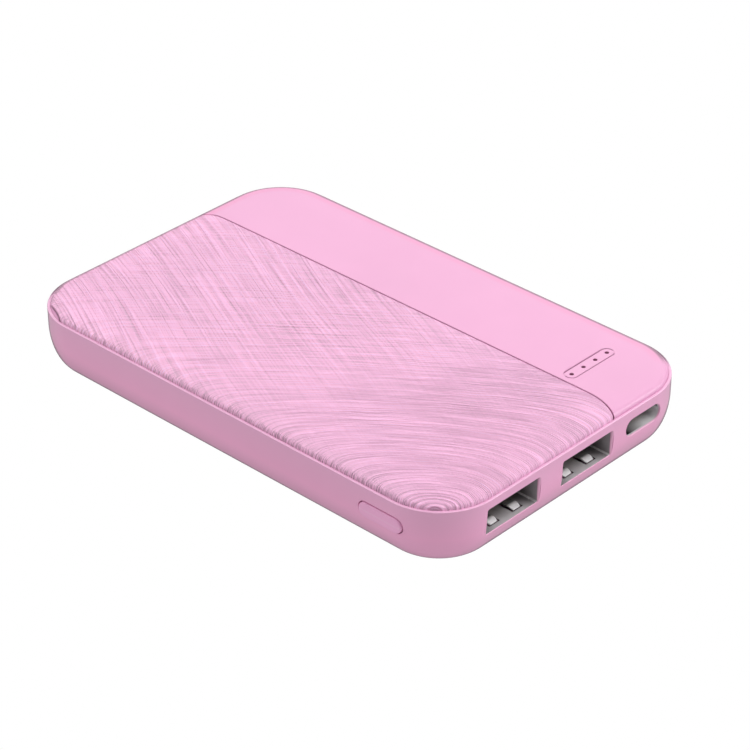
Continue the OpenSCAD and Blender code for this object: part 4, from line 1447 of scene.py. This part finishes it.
def build_finger(centre_x, z_floor):
    """Stamped spring strip that narrows towards its tip."""
    count, thick, e = 53, 0.25, 0.05
    knots = np.arange(len(FINGER_PATH))
    at = np.linspace(0, len(FINGER_PATH) - 1, count)
    ys, zs = (np.interp(at, knots, column) for column in FINGER_PATH.T)
    for _ in range(3):
        for line in (ys, zs):
            line[1:-1] = (line[:-2] + 2 * line[1:-1] + line[2:]) / 4
    dy, dz = np.gradient(ys), np.gradient(zs)
    length = np.hypot(dy, dz)
    ny, nz = dz / length, -dy / length
    upward = np.where(nz > 0, 1, -1)
    ny, nz = ny * upward, nz * upward
    rings = []
    for i in range(count):
        w = 1.0 - 0.16 * smoothstep(count - 12, count - 1, np.array(float(i)))
        section = [(-w, -e), (-w, -thick + e), (-w + e, -thick), (w - e, -thick),
                   (w, -thick + e), (w, -e), (w - e, 0), (-w + e, 0)]
        rings.append([(centre_x + u, SHELL_Y + ys[i] + ny[i] * q, z_floor + zs[i] + nz[i] * q)
                      for u, q in section])
    return loft("finger", rings, "spring_steel")


def a_shell(side, x, z, z_floor, length):
    back = SHELL_Y + length
    windows = []
    for sign in (-1, 1):
        middle = x + sign * FINGER_X
        windows.append(((middle - 1.3, SHELL_Y + 0.75, z_floor - 1.0),
                        (middle + 1.3, SHELL_Y + 5.65, z_floor + 0.15)))
    for dx in CONTACT_XS:
        windows.append(((x + dx - 0.6, back - 1, z - 0.3), (x + dx + 0.6, back + 1, z + 0.25)))
    parts = [sheet_shell("shell", (x, z), A_HALF_W, A_HALF_H, 0.50, 0.19, A_FRONT,
                         length + SHELL_Y - A_FRONT, windows, "connector_steel")]
    for sign in (-1, 1):
        x0, x1 = sorted((x + sign * 6.5, x + sign * 7.87))
        parts.append(box_mesh("tab", (x0, PORT_Y + 8.2, BOARD_TOP),
                              (x1, PORT_Y + 9.8, BOARD_TOP + 0.3), "connector_steel"))
    shell = fix_normals(join(parts, "socket_shell_" + side))
    sharpen(shell, 35)
    register(shell, "usb_a_shell_" + side, "case")


def a_springs(side, x, z_floor):
    fingers = [build_finger(x + sign * FINGER_X, z_floor) for sign in (-1, 1)]
    springs = fix_normals(join(fingers, "plug_springs_" + side))
    sharpen(springs, 40)
    register(springs, "usb_a_springs_" + side, "springs_" + side)


def a_tongue(side, x, z, length):
    """Chamfered nose on a solid rear block, grooved for the contacts."""
    front, back = SHELL_Y + 1.5, SHELL_Y + length
    nose = [(5.40, 0.76, 0.1, front), (5.47, 0.83, 0.12, front + 0.05),
            (5.55, 0.92, 0.12, front + 0.22), (5.55, 0.92, 0.12, back - 0.8)]
    block = [(6.1, 2.4, 0.3, back - 1.3), (6.2, 2.5, 0.3, back - 1.2),
             (6.2, 2.5, 0.3, back - 0.35)]
    tongue = tongue_and_block("socket_tongue_" + side, x, z + 0.92, nose, z, block, flip=True)
    combine(tongue, [box_mesh("groove", (x + dx - 0.55, SHELL_Y + 1.9, z - 0.25),
                              (x + dx + 0.55, back, z + 0.12)) for dx in CONTACT_XS])
    sharpen(tongue, 35)
    register(tongue, "usb_a_tongue_" + side, "case")


def c_shell(x, z, low, y0, length):
    back = y0 + length
    parts = [sheet_shell("tube", (x, z), C_HALF_W, C_HALF_H, C_R, 0.13, C_FRONT, back - C_FRONT,
                         [((x - 3.2, back - 1, z - 0.8), (x + 3.2, back + 1, z + 0.8))],
                         "drawn_tube")]
    for sign in (-1, 1):
        leg_x = x + sign * (C_HALF_W - 0.20)
        for y in (y0 + 1.6, y0 + 5.4):
            parts.append(box_mesh("leg", (leg_x - 0.12, y, low), (leg_x + 0.12, y + 1, z),
                                  "connector_steel"))
    shell = fix_normals(join(parts, "usb_c_housing"))
    sharpen(shell, 35)
    register(shell, "usb_c_shell", "case")


def c_tongue(x, z, y0, length):
    back = y0 + length
    nose = [(3.2, 0.22, 0.1, y0 + 1.2), (3.3, 0.3, 0.12, y0 + 1.25),
            (3.35, 0.35, 0.12, y0 + 1.4), (3.35, 0.35, 0.12, back - 1)]
    block = [(3.7, 0.9, 0.2, back - 1.6), (3.7, 0.9, 0.2, back - 0.35)]
    tongue = tongue_and_block("usb_c_core", x, z, nose, z, block, flip=False)
    pitch = 0.5
    grooves = []
    for z0, z1 in ((z - 1.6, z - 0.28), (z + 0.28, z + 1.6)):
        for i in range(12):
            middle = x + (i - 5.5) * pitch
            grooves.append(box_mesh("groove", (middle - 0.15, y0 + 1.5, z0),
                                    (middle + 0.15, back, z1)))
    combine(tongue, [join(grooves, "grooves")])
    sharpen(tongue, 35)
    register(tongue, "usb_c_tongue", "case")


for side, (x, z) in zip(SIDES, USB_A):
    shell_lo, shell_hi = cad_box("usb_a_shell_" + side)
    length = shell_hi[1] - shell_lo[1]
    z_floor = z - 2.56
    a_shell(side, x, z, z_floor, length)
    a_springs(side, x, z_floor)
    a_tongue(side, x, z, length)

shell_lo, shell_hi = cad_box("usb_c_shell")
length = shell_hi[1] - shell_lo[1]
c_shell(*USB_C, shell_lo[2], shell_lo[1], length)
c_tongue(*USB_C, shell_lo[1], length)

# ---------------------------------------------------------------- fine bevels on kept CAD pieces
BEVELLED = (
    "usb_a_contacts_left", "usb_a_contacts_right", "switch_body", "switch_plunger",
    "switch_frame", "switch_terminals", "main_board", "control_chip", "charge_chip",
    "ceramic_capacitors", "output_capacitors", "resistors", "protection_board",
    "protection_chips", "positive_tab", "negative_tab", "board_screws", "inductor_core",
    "light_gasket", "cell_adhesive_pads", "foam_strips", "protection_tape",
)
for piece in BEVELLED:
    ob = NODES[piece]
    low, high = cad_box(piece)
    bevel = ob.modifiers.new("bevel", "BEVEL")
    bevel.width = min(0.00006, float((high - low).min()) * 0.001 * 0.12)
    bevel.segments = 2
    bevel.limit_method = "ANGLE"
    bevel.angle_limit = math.radians(50)
    bevel.use_clamp_overlap = True
    ob.data.polygons.foreach_set("use_smooth", [False] * len(ob.data.polygons))

# ---------------------------------------------------------------- stage
FLOOR_HALF, FLOOR_Z = 2000.0, -0.02
AMBIENT = 0.24


def floor_paper():
    """Pure white to the camera; to other rays a grey sheet with a faint glow."""
    nodes = empty_look("floor_paper")
    seen = nodes.out("Emission", Color=(1, 1, 1, 1), Strength=1.0)
    bounce = nodes.out("BsdfDiffuse", Color=(0.40, 0.39, 0.40, 1))
    glow = nodes.out("Emission", Color=(1.0, 0.97, 0.99, 1), Strength=0.42)
    to_camera = nodes.out("LightPath", output="Is Camera Ray")
    lit = nodes.out("AddShader", bounce, glow)
    nodes.add("OutputMaterial", nodes.out("MixShader", to_camera, lit, seen))


def build_world():
    """White to the camera, dim ambient light to everything else."""
    world = bpy.data.worlds.new("studio")
    bpy.context.scene.world = world
    world.use_nodes = True
    nodes = Nodes(world.node_tree)
    background = world.node_tree.nodes["Background"]
    to_camera = nodes.out("LightPath", output="Is Camera Ray")
    nodes.feed(background.inputs["Strength"], nodes.mix_floats(to_camera, AMBIENT, 1.0))
    nodes.feed(background.inputs["Color"], (1.0, 1.0, 1.0, 1))


def softbox(name, direction, size, radiance, distance=1.3):
    """Rectangular light aimed at the origin."""
    light = bpy.data.lights.new(name, "AREA")
    light.shape = "RECTANGLE"
    light.size, light.size_y = size
    light.energy = radiance * math.pi * size[0] * size[1]
    light.color = (1, 1, 1)
    ob = link(bpy.data.objects.new(name, light))
    place = Vector(direction).normalized() * distance
    ob.location = place
    ob.rotation_mode = "QUATERNION"
    ob.rotation_quaternion = (-place).to_track_quat("-Z", "Y")


def build_camera():
    """Looks down from the front left."""
    data = bpy.data.cameras.new("photo_camera")
    data.sensor_width = 36.0
    data.lens = 135.504
    data.clip_start, data.clip_end = 0.01, 20
    camera = link(bpy.data.objects.new("photo_camera", data))
    azimuth, elevation = math.radians(-46.89), math.radians(32.44)
    position = Vector((-0.3046, -0.2903, 0.2705))
    right = Vector((math.cos(azimuth), math.sin(azimuth), 0))
    back = Vector((math.sin(azimuth) * math.cos(elevation),
                   -math.cos(azimuth) * math.cos(elevation), math.sin(elevation)))
    columns = (right, back.cross(right), back, position)
    rows = [tuple(column[k] for column in columns) for k in range(3)]
    camera.matrix_world = Matrix((*rows, (0, 0, 0, 1)))
    bpy.context.scene.camera = camera


floor_paper()
floor_corners = [(sx * FLOOR_HALF, sy * FLOOR_HALF, FLOOR_Z)
                 for sx, sy in ((-1, -1), (1, -1), (1, 1), (-1, 1))]
mesh_object("floor", floor_corners, [(0, 1, 2, 3)], "floor_paper", smooth=False)
build_world()
softbox("back_panel", direction=(0.62, 0.58, 0.54), size=(1.6, 0.8), radiance=1.35)
softbox("port_key", direction=(0.62, -0.54, 0.58), size=(0.95, 0.95), radiance=3.0)
softbox("side_key", direction=(-0.55, 0.58, 0.62), size=(0.85, 0.85), radiance=2.2)
softbox("overhead", direction=(0.05, -0.38, 0.92), size=(0.9, 0.9), radiance=1.8)
build_camera()
bpy.context.scene.view_settings.view_transform = "Standard"
